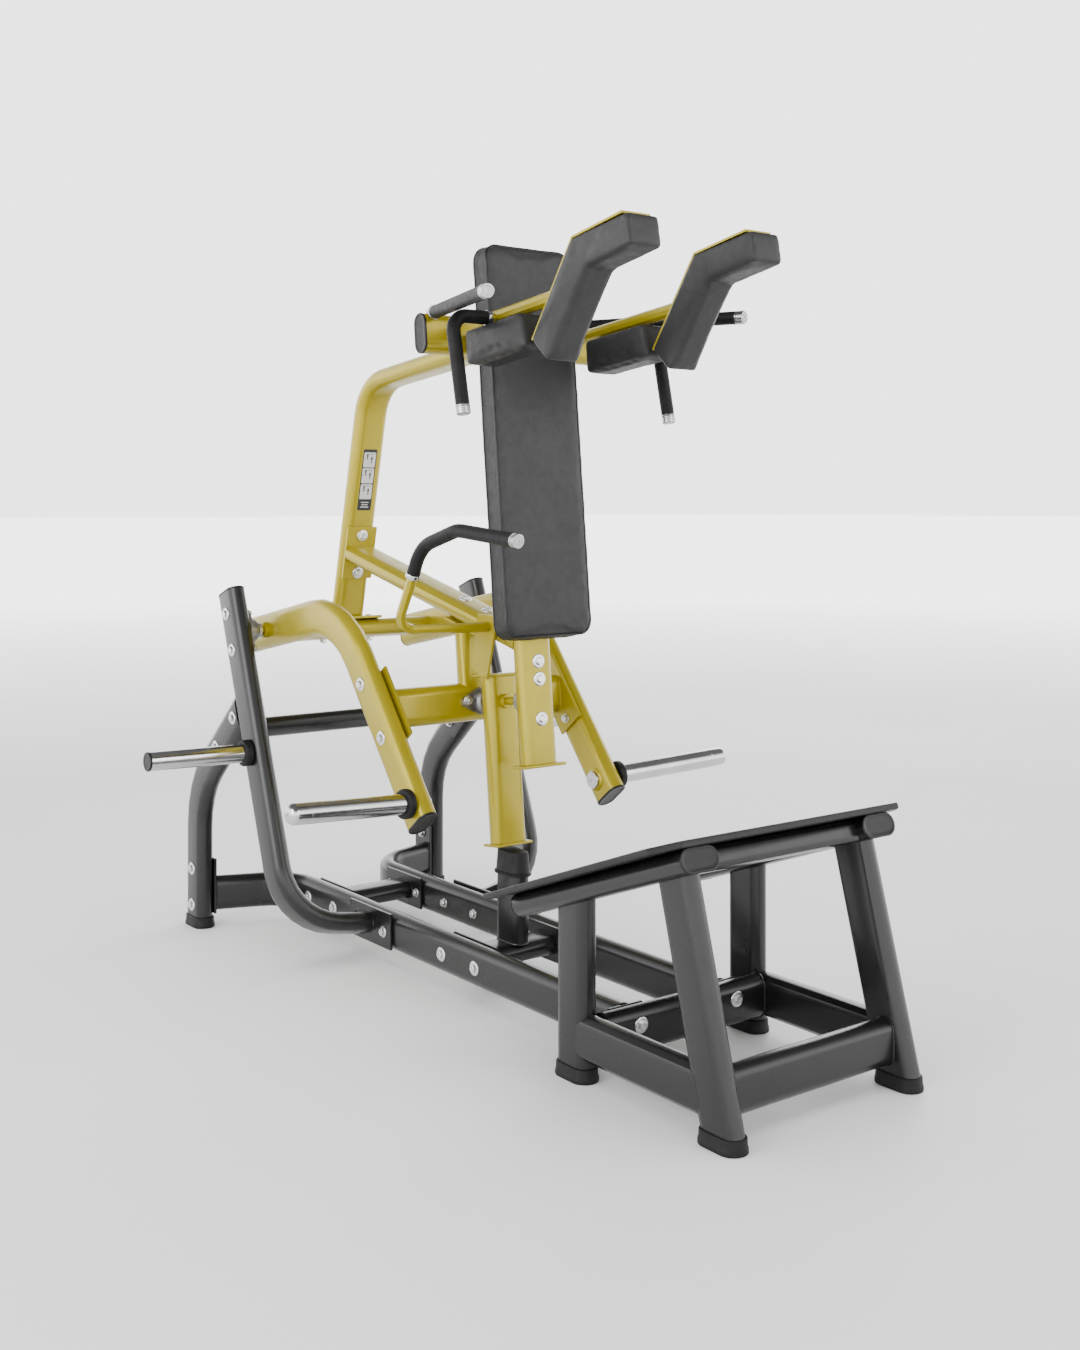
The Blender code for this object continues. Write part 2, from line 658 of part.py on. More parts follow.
def rear_post(cross_back, cross_z):
    """The bent tube that rises from the cross tube and runs forward as the boom."""
    foot_z = cross_z + TUBE_THIN / 2 + PLATE
    corner = (1.7667, 1.5754)
    path = rounded([(post_line(foot_z - 0.03), foot_z - 0.03), corner, (YOKE_BACK, boom_z(YOKE_BACK))], 0.130)
    post = oval_tube("rear_post", path, side_plane(0), TUBE_THIN, TUBE_WIDE, YELLOW)
    tilt = Matrix.Rotation(-ARM_REAR_SLOPE, 4, "X")
    normal = Vector((0, math.sin(ARM_REAR_SLOPE), math.cos(ARM_REAR_SLOPE)))
    spot = Vector((0, back(cross_back), cross_z)) + normal * (TUBE_THIN / 2 + GAP + PLATE / 2)
    below = box("below", (0.3, 0.3, 0.2), Matrix.Translation(spot - normal * 0.1) @ tilt, None, 0, CUTTERS)
    cut_away(post, YOKE_TUBE.cutter(), below)
    weld_on(post, box("post_plate", (0.200, 0.100, PLATE), Matrix.Translation(spot) @ tilt, YELLOW, 0.002))


def brace():
    """The diagonal from the rear post's front face down to the pad post."""
    near, far = 1.012, 1.90
    rear = oval_tube("lever_brace", [(near, brace_z(near)), (far, brace_z(far))], side_plane(0),
                     TUBE_THIN, TUBE_WIDE, YELLOW)
    lean = math.atan(REAR_POST_SLOPE)
    centre_z = 1.088
    face = Vector((0, back(post_line(centre_z)), centre_z))
    outward = Vector((0, -math.cos(lean), -math.sin(lean)))
    tilt = Matrix.Rotation(lean, 4, "X")
    behind_spot = Matrix.Translation(face + outward * (TUBE_THIN / 2 + GAP + 0.004 - 0.15))
    behind = box("behind", (0.3, 0.3, 0.6), behind_spot @ tilt, None, 0, CUTTERS)
    cut_away(rear, PAD_POST.cutter(), behind)
    spot = face + outward * (TUBE_THIN / 2 + GAP + PLATE / 2)
    weld_on(rear, box("saddle_plate", (0.098, PLATE, 0.156), Matrix.Translation(spot) @ tilt, YELLOW, 0.002))


def pad_post():
    post = PAD_POST.build()
    foot = Matrix.Translation((0, back(PAD_POST_BACK), PAD_POST_FOOT_Z - 0.003))
    tilt = Matrix.Rotation(-math.atan(LEAN), 4, "X")
    weld_on(post, box("foot_plate_small", (0.130, 0.062, 0.007), foot @ tilt, YELLOW, 0.002))


def yoke():
    """Yoke crossbar, and on each side a round tube that carries the shoulder pad's plate."""
    YOKE_TUBE.build()
    for side in (-1, 1):
        yoke_tube(side)
        upper_handle(side)
        down_handle(side)


def yoke_tube_point(distance):
    """Height of a yoke tube's centre this far behind the front feet."""
    return 1.648 + 0.105 * (1.078 - distance)


PLATE_LINE = [(0.388, 1.834), (0.556, 1.804), (0.700, 1.593)]   # outside of the shoulder pad


def offset_line(points, amount):
    """A polyline moved sideways, its inner corners mitred; positive is to the right of its run."""
    moved = []
    for i, point in enumerate(points):
        here = Vector(point)
        sides = []
        if i > 0:
            sides.append((here - Vector(points[i - 1])).normalized())
        if i < len(points) - 1:
            sides.append((Vector(points[i + 1]) - here).normalized())
        normals = [Vector((run.y, -run.x)) for run in sides]
        normal = sum(normals, Vector((0, 0))).normalized()
        moved.append(here + normal * amount / normal.dot(normals[0]))
    return [tuple(point) for point in moved]


def yoke_tube(side):
    x = side * YOKE_TUBE_X
    rear, front = 1.100, 0.600
    tube = round_tube("yoke_tube_" + side_name(side),
                      [(x, back(rear), yoke_tube_point(rear)), (x, back(front), yoke_tube_point(front))],
                      YOKE_TUBE_RADIUS, YELLOW, resolution=3)
    pad_side = offset_line(PLATE_LINE[1:], -0.002) + [(0.450, 1.450), (0.350, 1.750)]
    cut_away(tube, YOKE_TUBE.cutter(), slab("pad_side", pad_side, 0.2, side_plane(x), None, 0, CUTTERS))
    outline = offset_line(PLATE_LINE, -0.0055) + list(reversed(offset_line(PLATE_LINE, -GAP)))
    weld_on(tube, slab("pad_plate", outline, 0.080, side_plane(x), YELLOW))


def upper_handle(side):
    """A straight handle from the top of the yoke crossbar, forward and slightly outward."""
    root = Vector((side * 0.2275, back(1.118), 1.6935))
    tip = Vector((side * 0.387, back(0.642), 1.685))
    stub, length = 0.075, (tip - root).length
    profile = [(0, 0), (0.0125, 0), (0.0125, stub), (GRIP_RADIUS, stub), (GRIP_RADIUS, length), (0, length)]
    handle = turned("upper_handle_" + side_name(side), profile, facing(root, tip - root), GRIP, 16)
    cut_away(bake(handle), YOKE_TUBE.cutter())


def down_handle(side):
    """A handle out of the side of the yoke tube that turns down."""
    distance = 0.888
    z = yoke_tube_point(distance) - 0.005
    root = Vector((side * (YOKE_TUBE_X + YOKE_TUBE_RADIUS + 0.0006), back(distance), z))
    turn = Vector((side * 0.315, back(distance), z))
    tip = Vector((side * 0.315, back(0.838), 1.432))
    round_tube("down_grip_" + side_name(side), rounded([root, turn, tip], 0.042), GRIP_RADIUS, GRIP)


# ---------------------------------------------------------------- upholstery
def back_pad():
    """The long rounded pad on the front of the pad post."""
    low_z, high_z, corner = 0.893, 1.865, 0.032
    tilt = math.atan(LEAN)
    length = (high_z - low_z) / math.cos(tilt)
    half = BACK_PAD_HALF
    outline = []
    for x, z, start in ((half, 0, -90), (half, length, 0), (-half, length, 90), (-half, 0, 180)):
        cx = x - math.copysign(corner, x)
        cz = z + corner if z == 0 else z - corner
        for step in range(4):
            angle = math.radians(start + step * 30)
            outline.append((cx + corner * math.cos(angle), cz + corner * math.sin(angle)))
    rear_face = lean_back(PAD_POST_BACK, PAD_POST_FOOT_Z, low_z) - TUBE_THIN / 2 / math.cos(tilt) - 0.0006
    middle = back(rear_face) - BACK_PAD_THICK / 2 / math.cos(tilt)
    along = Vector((0, math.sin(tilt), math.cos(tilt)))
    pad_plane = plane(Vector((0, middle, low_z)), X_AXIS, along)
    slab("back_pad", outline, BACK_PAD_THICK, pad_plane, LEATHER, 0.006)


def shoulder_pads():
    """L-shaped pads under the yellow plates: a forward arm and a longer leg that slopes down."""
    outer = [(0.366, 1.8335), (0.556, 1.8035), (0.700, 1.5925)]
    inner = [(0.643, 1.5405), (0.510, 1.7370), (0.354, 1.7650)]
    for side in (-1, 1):
        slab("shoulder_pad_" + side_name(side), outer + inner, 2 * SHOULDER_PAD_HALF,
             side_plane(side * YOKE_TUBE_X), LEATHER, 0.006)


def inner_pads():
    """Blocks of upholstery under the yoke tubes."""
    for side in (-1, 1):
        lift = YOKE_TUBE_RADIUS + 0.006
        front, rear = 0.735, 0.962
        outline = [(front, yoke_tube_point(front) - lift), (rear, yoke_tube_point(rear) - lift),
                   (rear - 0.006, yoke_tube_point(rear) - lift - 0.082),
                   (front - 0.020, yoke_tube_point(front) - lift - 0.080)]
        slab("inner_pad_" + side_name(side), outline, 0.096, side_plane(side * 0.184), LEATHER, 0.010)


# ---------------------------------------------------------------- stop leg
LEG_SIDE = math.atan(LEAN)


def leg_point(z):
    return lean_back(LEG_BACK, LEG_AXIS_Z, z)


def stop_leg():
    """The swing-out column: foot plate, top plate, handle plate, and a shaft stub each way."""
    top_z, foot_z = 0.784, LEG_FOOT_Z + 0.003
    leg = oval_tube("stop_leg", [(leg_point(foot_z), foot_z), (leg_point(top_z), top_z)], side_plane(0),
                    TUBE_THIN, TUBE_WIDE, YELLOW)
    tilt = Matrix.Rotation(-LEG_SIDE, 4, "X")
    foot = Matrix.Translation((0, back(leg_point(LEG_FOOT_Z)), LEG_FOOT_Z + 0.0035)) @ tilt
    cap = Matrix.Translation((0, back(leg_point(0.785)), 0.785)) @ tilt
    gusset_outline = [(1.110, 0.7795), (1.132, 0.7795), (1.172, 0.8020), (1.153, 0.9430), (1.064, 0.9430)]
    gusset = slab("gusset", gusset_outline, 0.006, side_plane(-GUSSET_X), YELLOW)
    along = Vector((0, 1, -LEAN)).normalized()
    axis = Vector((0, back(LEG_BACK), LEG_AXIS_Z))
    reach, radius = 0.078, LEG_SHAFT_RADIUS
    shaft = turned("leg_shaft", [(0, -0.108), (radius, -0.108), (radius, reach), (0, reach)],
                   facing(axis, along), YELLOW, 16)
    weld_on(leg, box("leg_foot", (0.112, 0.062, 0.006), foot, YELLOW, 0.002),
            box("leg_cap", (0.122, 0.064, 0.006), cap, YELLOW, 0.002), gusset, shaft)


def leg_bearings():
    """The stop leg's two bearings: one on the lever crossbar, one on the back of the pad post."""
    along = Vector((0, 1, -LEAN)).normalized()
    axis = Vector((0, back(LEG_BACK), LEG_AXIS_Z))
    crossbar_face = Vector((0, back(CROSSBAR_BACK), CROSSBAR_Z)) - along * (TUBE_THIN / 2 + GAP)
    rear = axis + along * (crossbar_face - axis).dot(along)
    flange_bearing("leg_bearing_rear", rear, -along, X_AXIS, LEG_SHAFT_RADIUS)
    post_centre = Vector((0, back(lean_back(PAD_POST_BACK, PAD_POST_FOOT_Z, LEG_AXIS_Z)), LEG_AXIS_Z))
    post_face = post_centre + along * (TUBE_THIN / 2 + GAP)
    front = axis + along * (post_face - axis).dot(along)
    up = X_AXIS.cross(along)
    flange_bearing("leg_bearing_front", front, along, up, LEG_SHAFT_RADIUS)


def stop_handle():
    """A round handle from the leg's handle plate out to the user's right, then up and forward."""
    rise, side = 0.913, -0.300
    start = Vector((-GUSSET_X - 0.0035, back(1.106), rise))
    bend = start - X_AXIS * 0.030
    elbow = Vector((side, back(leg_point(rise)), rise))
    grip_foot = Vector((side, back(1.081), 1.047))
    shoulder = Vector((side, back(1.046), 1.120))
    crest = Vector((side, back(0.886), 1.1630))
    tip = Vector((side, back(0.648), 1.142))
    round_tube("stop_handle_tube", rounded([start, bend, elbow, grip_foot], 0.045), 0.0125, YELLOW)
    up = (grip_foot - elbow).normalized()
    grip_path = rounded([grip_foot + up * 0.005, shoulder, crest, tip], 0.105)
    round_tube("stop_handle_grip", grip_path, GRIP_RADIUS, GRIP)


# ---------------------------------------------------------------- assembly
def hang_on(empty_name, at, direction, names, parent=None):
    """An empty on a joint's axis that carries the named pieces."""
    axis = bpy.data.objects.new(empty_name, None)
    axis.matrix_world = facing(at, direction)
    PARTS.objects.link(axis)
    bpy.context.view_layer.update()
    if parent:
        axis.parent = parent
        axis.matrix_parent_inverse = parent.matrix_world.inverted()
    for name in names:
        piece = bpy.data.objects[name]
        piece.parent = axis
        piece.matrix_parent_inverse = axis.matrix_world.inverted()
    bpy.context.view_layer.update()
    return axis


foot_stand()
floor_rails()
uprights()
cross_members()
stop_post()
floor_pieces = {piece.name for piece in PARTS.objects}
arms()
crossbar()
cross_tube_back, cross_tube_z = cross_tube()
rear_post(cross_tube_back, cross_tube_z)
brace()
pad_post()
yoke()
back_pad()
shoulder_pads()
inner_pads()
leg_bearings()
lever_pieces = {piece.name for piece in PARTS.objects} - floor_pieces
stop_leg()
stop_handle()
leg_pieces = {piece.name for piece in PARTS.objects} - floor_pieces - lever_pieces

for piece in PARTS.objects:
    piece.data.shade_smooth()
    piece.data.set_sharp_from_angle(angle=math.radians(35))

lever_axis = hang_on("lever_pivot_axis", pivot_point(0), X_AXIS, sorted(lever_pieces))
leg_pivot = Vector((0, back(LEG_BACK), LEG_AXIS_Z))
hang_on("stop_leg_axis", leg_pivot, (0, 1, -LEAN), sorted(leg_pieces), lever_axis)
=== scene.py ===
"""Looks for the lever squat machine: finishes for the CAD frame, and the small parts that sit on it.

Metres, +Z up, the user faces -Y. "Back" distances are measured from the line of the front feet.
"""

import json
import math

import bmesh
import bpy
from mathutils import Matrix, Vector, noise
from mathutils.bvhtree import BVHTree

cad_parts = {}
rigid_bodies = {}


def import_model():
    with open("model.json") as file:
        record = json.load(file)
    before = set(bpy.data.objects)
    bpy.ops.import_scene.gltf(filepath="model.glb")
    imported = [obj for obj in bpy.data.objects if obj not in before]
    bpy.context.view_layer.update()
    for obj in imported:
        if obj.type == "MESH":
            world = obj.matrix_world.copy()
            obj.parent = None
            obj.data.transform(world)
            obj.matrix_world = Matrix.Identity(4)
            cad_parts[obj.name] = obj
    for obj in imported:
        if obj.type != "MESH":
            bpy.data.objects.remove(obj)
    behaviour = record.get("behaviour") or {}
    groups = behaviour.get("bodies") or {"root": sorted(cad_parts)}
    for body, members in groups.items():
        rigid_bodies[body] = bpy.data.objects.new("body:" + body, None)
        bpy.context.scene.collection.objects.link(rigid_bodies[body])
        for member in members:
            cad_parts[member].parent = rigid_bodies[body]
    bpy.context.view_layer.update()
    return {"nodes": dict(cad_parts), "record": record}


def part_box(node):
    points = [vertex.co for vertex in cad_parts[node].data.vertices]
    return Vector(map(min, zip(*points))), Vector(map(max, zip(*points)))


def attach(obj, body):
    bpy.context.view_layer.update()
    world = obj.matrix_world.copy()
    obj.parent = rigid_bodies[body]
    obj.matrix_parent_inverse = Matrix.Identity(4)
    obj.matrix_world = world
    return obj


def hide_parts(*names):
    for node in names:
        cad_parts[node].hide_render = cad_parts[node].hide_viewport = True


for old in list(bpy.data.objects):
    bpy.data.objects.remove(old, do_unlink=True)

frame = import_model()
NODES = frame["nodes"]

# ---------------------------------------------------------------- dimensions shared with the CAD
FRONT = -1.065          # Y of the line of the front feet
STADIUM = (0.100, 0.050)    # the frame tube's flat-oval section
HALF_THIN = 0.025
GAP = 0.0003            # clearance between bolted pieces
PLATE = 0.008
BOLTED = HALF_THIN + GAP + PLATE    # from a tube's middle to the outside of a plate bolted to its face
BEAM_X, BEAM_FRONT, BEAM_RUN, BEAM_Z, BEAM_SLOPE = 0.260, 0.110, 0.550, 0.537, 0.364
STAND_CROSS_X, STAND_CROSS_Z, STAND_CROSS_BACKS = 0.230, 0.095, (0.0675, 0.442)
RAIL_X, RAIL_Z = 0.142, 0.090
CROSS_MEMBER_BACKS = (1.782, 1.083)
STOP_POST_BACK = 1.080
UPRIGHT_X, UPRIGHT_FOOT, UPRIGHT_SLOPE, UPRIGHT_TOP = 0.405, 1.488, 0.382, 0.978
REAR_LEG_X, REAR_LEG_BACK = 0.400, 2.080
REAR_CROSSBAR = (1.867, 0.591)
ARM_X = 0.295
ARM_REAR, ARM_FRONT = math.radians(11), math.radians(51)
PIVOT = (1.822, 0.871)
ARM_CROSS = (1.930, PIVOT[1] - 0.108 * math.tan(ARM_REAR))  # the tube between the arms' rear ends
CROSSBAR = (1.2455, 0.7055)     # the bar between the arms' plates
LEAN = 0.098            # slope of the pad post, pads and stop leg
POST_BACK, POST_Z, PAD_Z = 0.972, 0.577, 0.893      # lower ends of the pad post and of the back pad
REAR_POST_BACK, REAR_POST_Z, REAR_POST_SLOPE = 1.925, 0.890, 0.2305
BRACE_SLOPE = 0.239
STOP_AXIS = (1.136, 0.7175)
STOP_ELBOW_Z, STOP_LEG_ENDS = 0.913, (0.3607, 0.7818)
YOKE = (1.103, 1.643)
YOKE_HALF = 0.262
YOKE_TUBE_X, YOKE_TUBE_RADIUS = 0.181, 0.017
GRIP_RADIUS = 0.0165
X, Y, Z = Vector((1, 0, 0)), Vector((0, 1, 0)), Vector((0, 0, 1))
SIDES = ((-1, "left"), (1, "right"))


def at(x, back, z):
    return Vector((x, FRONT + back, z))


def unit(x, y, z):
    return Vector((x, y, z)).normalized()


LEAN_UP, LEAN_FORWARD = unit(0, LEAN, 1), unit(0, -1, LEAN)
UPRIGHT_UP = unit(0, UPRIGHT_SLOPE, 1)


def post_back(z):
    return POST_BACK + LEAN * (z - POST_Z)


def rear_post_back(z):
    return REAR_POST_BACK - REAR_POST_SLOPE * (z - REAR_POST_Z)


def stop_leg_back(z):
    return STOP_AXIS[0] + LEAN * (z - STOP_AXIS[1])


def brace_z(back):
    return 0.8755 + BRACE_SLOPE * (back - 1.0)


def yoke_tube_z(back):
    return 1.648 + 0.105 * (1.078 - back)


def seat(origin, outward, across=None):
    """Matrix with local Z outward and local X across."""
    outward = outward.normalized()
    if across is None:
        across = X if abs(outward.x) < 0.9 else Y
    across = (across - outward * across.dot(outward)).normalized()
    rows = (across, outward.cross(across), outward)
    return Matrix.Translation(origin) @ Matrix(rows).transposed().to_4x4()


# ---------------------------------------------------------------- procedural finishes
NOISE_SPREAD = (0.3, 0.7)   # the stretch of a noise's values that is spread over a colour or a roughness


class Finish:
    """A Principled material whose colour, roughness and bump come from noise in object space."""

    def __init__(self, name, metallic=0.0, **sockets):
        self.material = bpy.data.materials.new(name)
        self.material.use_nodes = True
        self.tree = self.material.node_tree
        self.shader = self.tree.nodes["Principled BSDF"]
        self.shader.inputs["Metallic"].default_value = metallic
        for socket, value in sockets.items():
            self.shader.inputs[socket.replace("_", " ")].default_value = value
        self.place = self.tree.nodes.new("ShaderNodeTexCoord").outputs["Object"]
        self.height = None

    def node(self, kind, links=(), **values):
        made = self.tree.nodes.new(kind)
        for key, value in values.items():
            if key in made.inputs:
                made.inputs[key].default_value = value
            else:
                setattr(made, key, value)
        for socket, source in links:
            self.tree.links.new(source, made.inputs[socket])
        return made

    def noise(self, scale, detail=3.0):
        place = [("Vector", self.place)]
        return self.node("ShaderNodeTexNoise", place, Scale=scale, Detail=detail).outputs["Fac"]

    def voronoi(self, scale, feature="DISTANCE_TO_EDGE"):
        place = [("Vector", self.place)]
        return self.node("ShaderNodeTexVoronoi", place, feature=feature, Scale=scale).outputs["Distance"]

    def map_range(self, source, start, end, low, high):
        limits = {"From Min": start, "From Max": end, "To Min": low, "To Max": high}
        return self.node("ShaderNodeMapRange", [("Value", source)], **limits).outputs["Result"]

    def colour(self, low, high, scale):
        ramp = self.node("ShaderNodeValToRGB", [("Fac", self.noise(scale, 4.0))])
        first, last = ramp.color_ramp.elements
        first.position, last.position = NOISE_SPREAD
        first.color, last.color = (*low, 1.0), (*high, 1.0)
        self.tree.links.new(ramp.outputs["Color"], self.shader.inputs["Base Color"])
        return self

    def roughness(self, low, high, scale):
        value = self.map_range(self.noise(scale, 4.0), *NOISE_SPREAD, low, high)
        self.tree.links.new(value, self.shader.inputs["Roughness"])
        return self

    def bump(self, source, strength, distance):
        links = [("Height", source)] + ([("Normal", self.height)] if self.height else [])
        made = self.node("ShaderNodeBump", links, Strength=strength, Distance=distance)
        self.height = made.outputs["Normal"]
        self.tree.links.new(self.height, self.shader.inputs["Normal"])
        return self


def paint(name, low, high, rough, coat, metallic, specular):
    """Powder coat: slight orange peel, faint mottling, clear gloss over it."""
    made = Finish(name, metallic, Coat_Weight=coat, Coat_Roughness=0.14, Specular_IOR_Level=specular)
    made.colour(low, high, 5.0).roughness(*rough, 30.0)
    made.bump(made.noise(420.0, 2.0), 0.10, 0.0004)
    return made.bump(made.noise(1800.0, 1.0), 0.05, 0.0001)


def matt(name, low, high, specular, scale):
    """A dark material with little mirror reflection."""
    return Finish(name, Specular_IOR_Level=specular).colour(low, high, scale)


def make_finishes():
    made = {}
    made["black_paint"] = paint("black_powder_coat", (0.0052, 0.0052, 0.0055), (0.0080, 0.0080, 0.0084),
                                (0.27, 0.34), 0.22, 0.0, 0.36)
    made["yellow_paint"] = paint("yellow_powder_coat", (0.330, 0.262, 0.0045), (0.372, 0.294, 0.0065),
                                 (0.30, 0.40), 0.25, 0.45, 0.45)
    rubber = matt("moulded_rubber", (0.0050, 0.0050, 0.0050), (0.0085, 0.0085, 0.0085), 0.22, 14.0)
    made["black_rubber"] = rubber.roughness(0.48, 0.64, 60.0).bump(rubber.noise(900.0, 3.0), 0.22, 0.0003)
    foam = matt("foam_grip", (0.0045, 0.0045, 0.0048), (0.0080, 0.0080, 0.0083), 0.16, 40.0)
    foam.roughness(0.44, 0.58, 80.0).bump(foam.voronoi(900.0, "F1"), 0.15, 0.0002)
    made["black_grip"] = foam.bump(foam.noise(260.0, 4.0), 0.10, 0.0003)
    chrome = Finish("polished_chrome", 1.0).colour((0.50, 0.50, 0.51), (0.60, 0.60, 0.61), 12.0)
    made["chrome"] = chrome.roughness(0.13, 0.19, 40.0).bump(chrome.noise(900.0, 2.0), 0.02, 0.0001)
    zinc = Finish("zinc_plated_steel", 1.0).colour((0.62, 0.62, 0.62), (0.82, 0.82, 0.83), 70.0)
    made["zinc"] = zinc.roughness(0.24, 0.40, 220.0).bump(zinc.noise(1500.0, 2.0), 0.08, 0.0001)
    alloy = Finish("turned_aluminium", 1.0).colour((0.34, 0.34, 0.35), (0.46, 0.46, 0.47), 90.0)
    made["aluminium"] = alloy.roughness(0.18, 0.30, 240.0).bump(alloy.noise(1200.0, 2.0), 0.06, 0.0001)
    cast = Finish("cast_bearing_steel", 0.9).colour((0.20, 0.20, 0.20), (0.38, 0.38, 0.39), 45.0)
    made["bearing_steel"] = cast.roughness(0.30, 0.48, 90.0).bump(cast.noise(700.0, 5.0), 0.30, 0.0003)
    leather = matt("charcoal_leather", (0.0150, 0.0150, 0.0154), (0.0205, 0.0205, 0.0210), 0.30, 9.0)
    leather.roughness(0.42, 0.56, 55.0).bump(leather.voronoi(560.0), 0.28, 0.0004)
    made["upholstery"] = leather.bump(leather.noise(240.0, 5.0), 0.34, 0.0008)
    # painted shade: the welt's leather is made far darker than the pad's leather, so the bead is partly real
    # piping and partly stands for the shade along the back pad's rounded edges
    welt = matt("welt_leather_and_painted_edge_shade", (0.0042, 0.0042, 0.0044), (0.0072, 0.0072, 0.0075), 0.36, 60.0)
    made["welt"] = welt.roughness(0.30, 0.42, 120.0).bump(welt.voronoi(700.0), 0.18, 0.0003)
    plug = matt("moulded_plug", (0.0045, 0.0045, 0.0047), (0.0078, 0.0078, 0.0082), 0.30, 30.0)
    made["plug"] = plug.roughness(0.34, 0.48, 90.0).bump(plug.noise(1300.0, 2.0), 0.20, 0.0002)
    grit = matt("grit_coated_plate", (0.0055, 0.0055, 0.0058), (0.0100, 0.0100, 0.0104), 0.30, 12.0)
    made["grit"] = grit.roughness(0.36, 0.52, 200.0).bump(grit.voronoi(560.0, "F1"), 0.40, 0.0005)
    for name, low, high in (("label_dark", (0.006, 0.006, 0.006), (0.010, 0.010, 0.010)),
                            ("label_pale", (0.50, 0.50, 0.49), (0.58, 0.58, 0.57)),
                            ("label_grey", (0.05, 0.05, 0.05), (0.09, 0.09, 0.09))):
        label = Finish(name).colour(low, high, 200.0)
        made[name] = label.roughness(0.30, 0.42, 300.0).bump(label.noise(900.0, 2.0), 0.04, 0.0001)
    return made


FINISHES = make_finishes()


# ---------------------------------------------------------------- mesh building
def oval(grow=0.0, size=STADIUM, steps=10):
    """Outline of a flat-oval section, its long way along local X, grown by grow all round."""
    radius = size[1] / 2 + grow
    reach = size[0] / 2 - size[1] / 2
    points = []
    for end in (1, -1):
        for i in range(steps + 1):
            angle = -math.pi / 2 + math.pi * i / steps
            points.append((end * (reach + radius * math.cos(angle)), end * radius * math.sin(angle)))
    return points


def circle(radius, steps=24, phase=0.0):
    turn = 2 * math.pi / steps
    return [(radius * math.cos(phase + i * turn), radius * math.sin(phase + i * turn)) for i in range(steps)]


def rounded_rectangle(half, low, high, corner=0.003, steps=4):
    """Outline from -half to half and from low to high, its corners rounded."""
    points = []
    for x, y, start in ((half - corner, low + corner, -90), (half - corner, high - corner, 0),
                        (corner - half, high - corner, 90), (corner - half, low + corner, 180)):
        for i in range(steps + 1):
            angle = math.radians(start + i * 90 / steps)
            points.append((x + corner * math.cos(angle), y + corner * math.sin(angle)))
    return points


def rounded(corners, radius, step=math.radians(8)):
    """Corner points joined by straight runs, with every inner corner turned on the radius."""
    points = [Vector(corners[0])]
    for before, corner, after in zip(corners, corners[1:], corners[2:]):
        into, out = (corner - before).normalized(), (after - corner).normalized()
        turn = into.angle(out)
        reach = radius * math.tan(turn / 2)
        centre = corner + (out - into).normalized() * radius / math.cos(turn / 2)
        start, end = corner - into * reach - centre, corner + out * reach - centre
        count = max(3, round(turn / step))
        for i in range(count + 1):
            points.append(centre + start.slerp(end, i / count).normalized() * radius)
    return points + [Vector(corners[-1])]


class Piece:
    """Collects geometry for one named piece, then places it on a body."""

    def __init__(self, name):
        self.name = name
        self.shape = bmesh.new()

    def loft(self, rings, matrix):
        """Closed rings of the same number of points, each (outline, height), skinned and capped."""
        loops = [[self.shape.verts.new(matrix @ Vector((*point, height))) for point in outline]
                 for outline, height in rings]
        for low, high in zip(loops, loops[1:]):
            for i, point in enumerate(low):
                j = (i + 1) % len(low)
                self.shape.faces.new((point, low[j], high[j], high[i]))
        self.shape.faces.new(list(reversed(loops[0])))
        self.shape.faces.new(loops[-1])
        return self

    def turned(self, profile, matrix, steps=28):
        """A profile of (radius, height) pairs turned about local Z."""
        return self.loft([(circle(radius, steps), height) for radius, height in profile], matrix)

    def sweep(self, points, radius, sides=10, closed=False, ripple=0.0, pitch=0.006):
        """A round bead along points; ripple scallops it like a weld."""
        rings, run, normal = [], 0.0, None
        count = len(points)
        for i, point in enumerate(points):
            ahead = points[(i + 1) % count] if closed or i < count - 1 else point
            behind = points[i - 1] if closed or i else point
            along = (ahead - behind).normalized()
            if i:
                run += (point - points[i - 1]).length
            if normal is None:
                normal = along.orthogonal().normalized()
            normal = (normal - along * normal.dot(along)).normalized()
            other = along.cross(normal)
            wide = radius * (1 + ripple * math.cos(2 * math.pi * run / pitch))
            rings.append([point + (normal * c + other * s) * wide for c, s in circle(1.0, sides)])
        loops = [[self.shape.verts.new(corner) for corner in ring] for ring in rings]
        pairs = list(zip(loops, loops[1:]))
        if closed:
            shift = min(range(sides), key=lambda k: (loops[0][k].co - loops[-1][0].co).length)
            pairs.append((loops[-1], loops[0][shift:] + loops[0][:shift]))
        for low, high in pairs:
            for i, corner in enumerate(low):
                j = (i + 1) % sides
                self.shape.faces.new((corner, low[j], high[j], high[i]))
        if not closed:
            self.shape.faces.new(list(reversed(loops[0])))
            self.shape.faces.new(loops[-1])
        return self

    def panel(self, outline, matrix, thick):
        """A flat outline with thickness."""
        return self.loft([(outline, 0.0), (outline, thick)], matrix)

    def done(self, finish, body, slot, replaces=(), angle=35):
        bmesh.ops.recalc_face_normals(self.shape, faces=self.shape.faces)
        data = bpy.data.meshes.new(self.name)
        self.shape.to_mesh(data)
        self.shape.free()
        data.materials.append(FINISHES[finish].material)
        data.shade_smooth()
        data.set_sharp_from_angle(angle=math.radians(angle))
        made = bpy.data.objects.new(self.name, data)
        bpy.context.scene.collection.objects.link(made)
        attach(made, body)
        if replaces:
            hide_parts(*replaces)
        return made


# ---------------------------------------------------------------- finishes on the CAD nodes
SHARP_ANGLE = math.radians(32)
WELD_DISTANCE = 0.00002


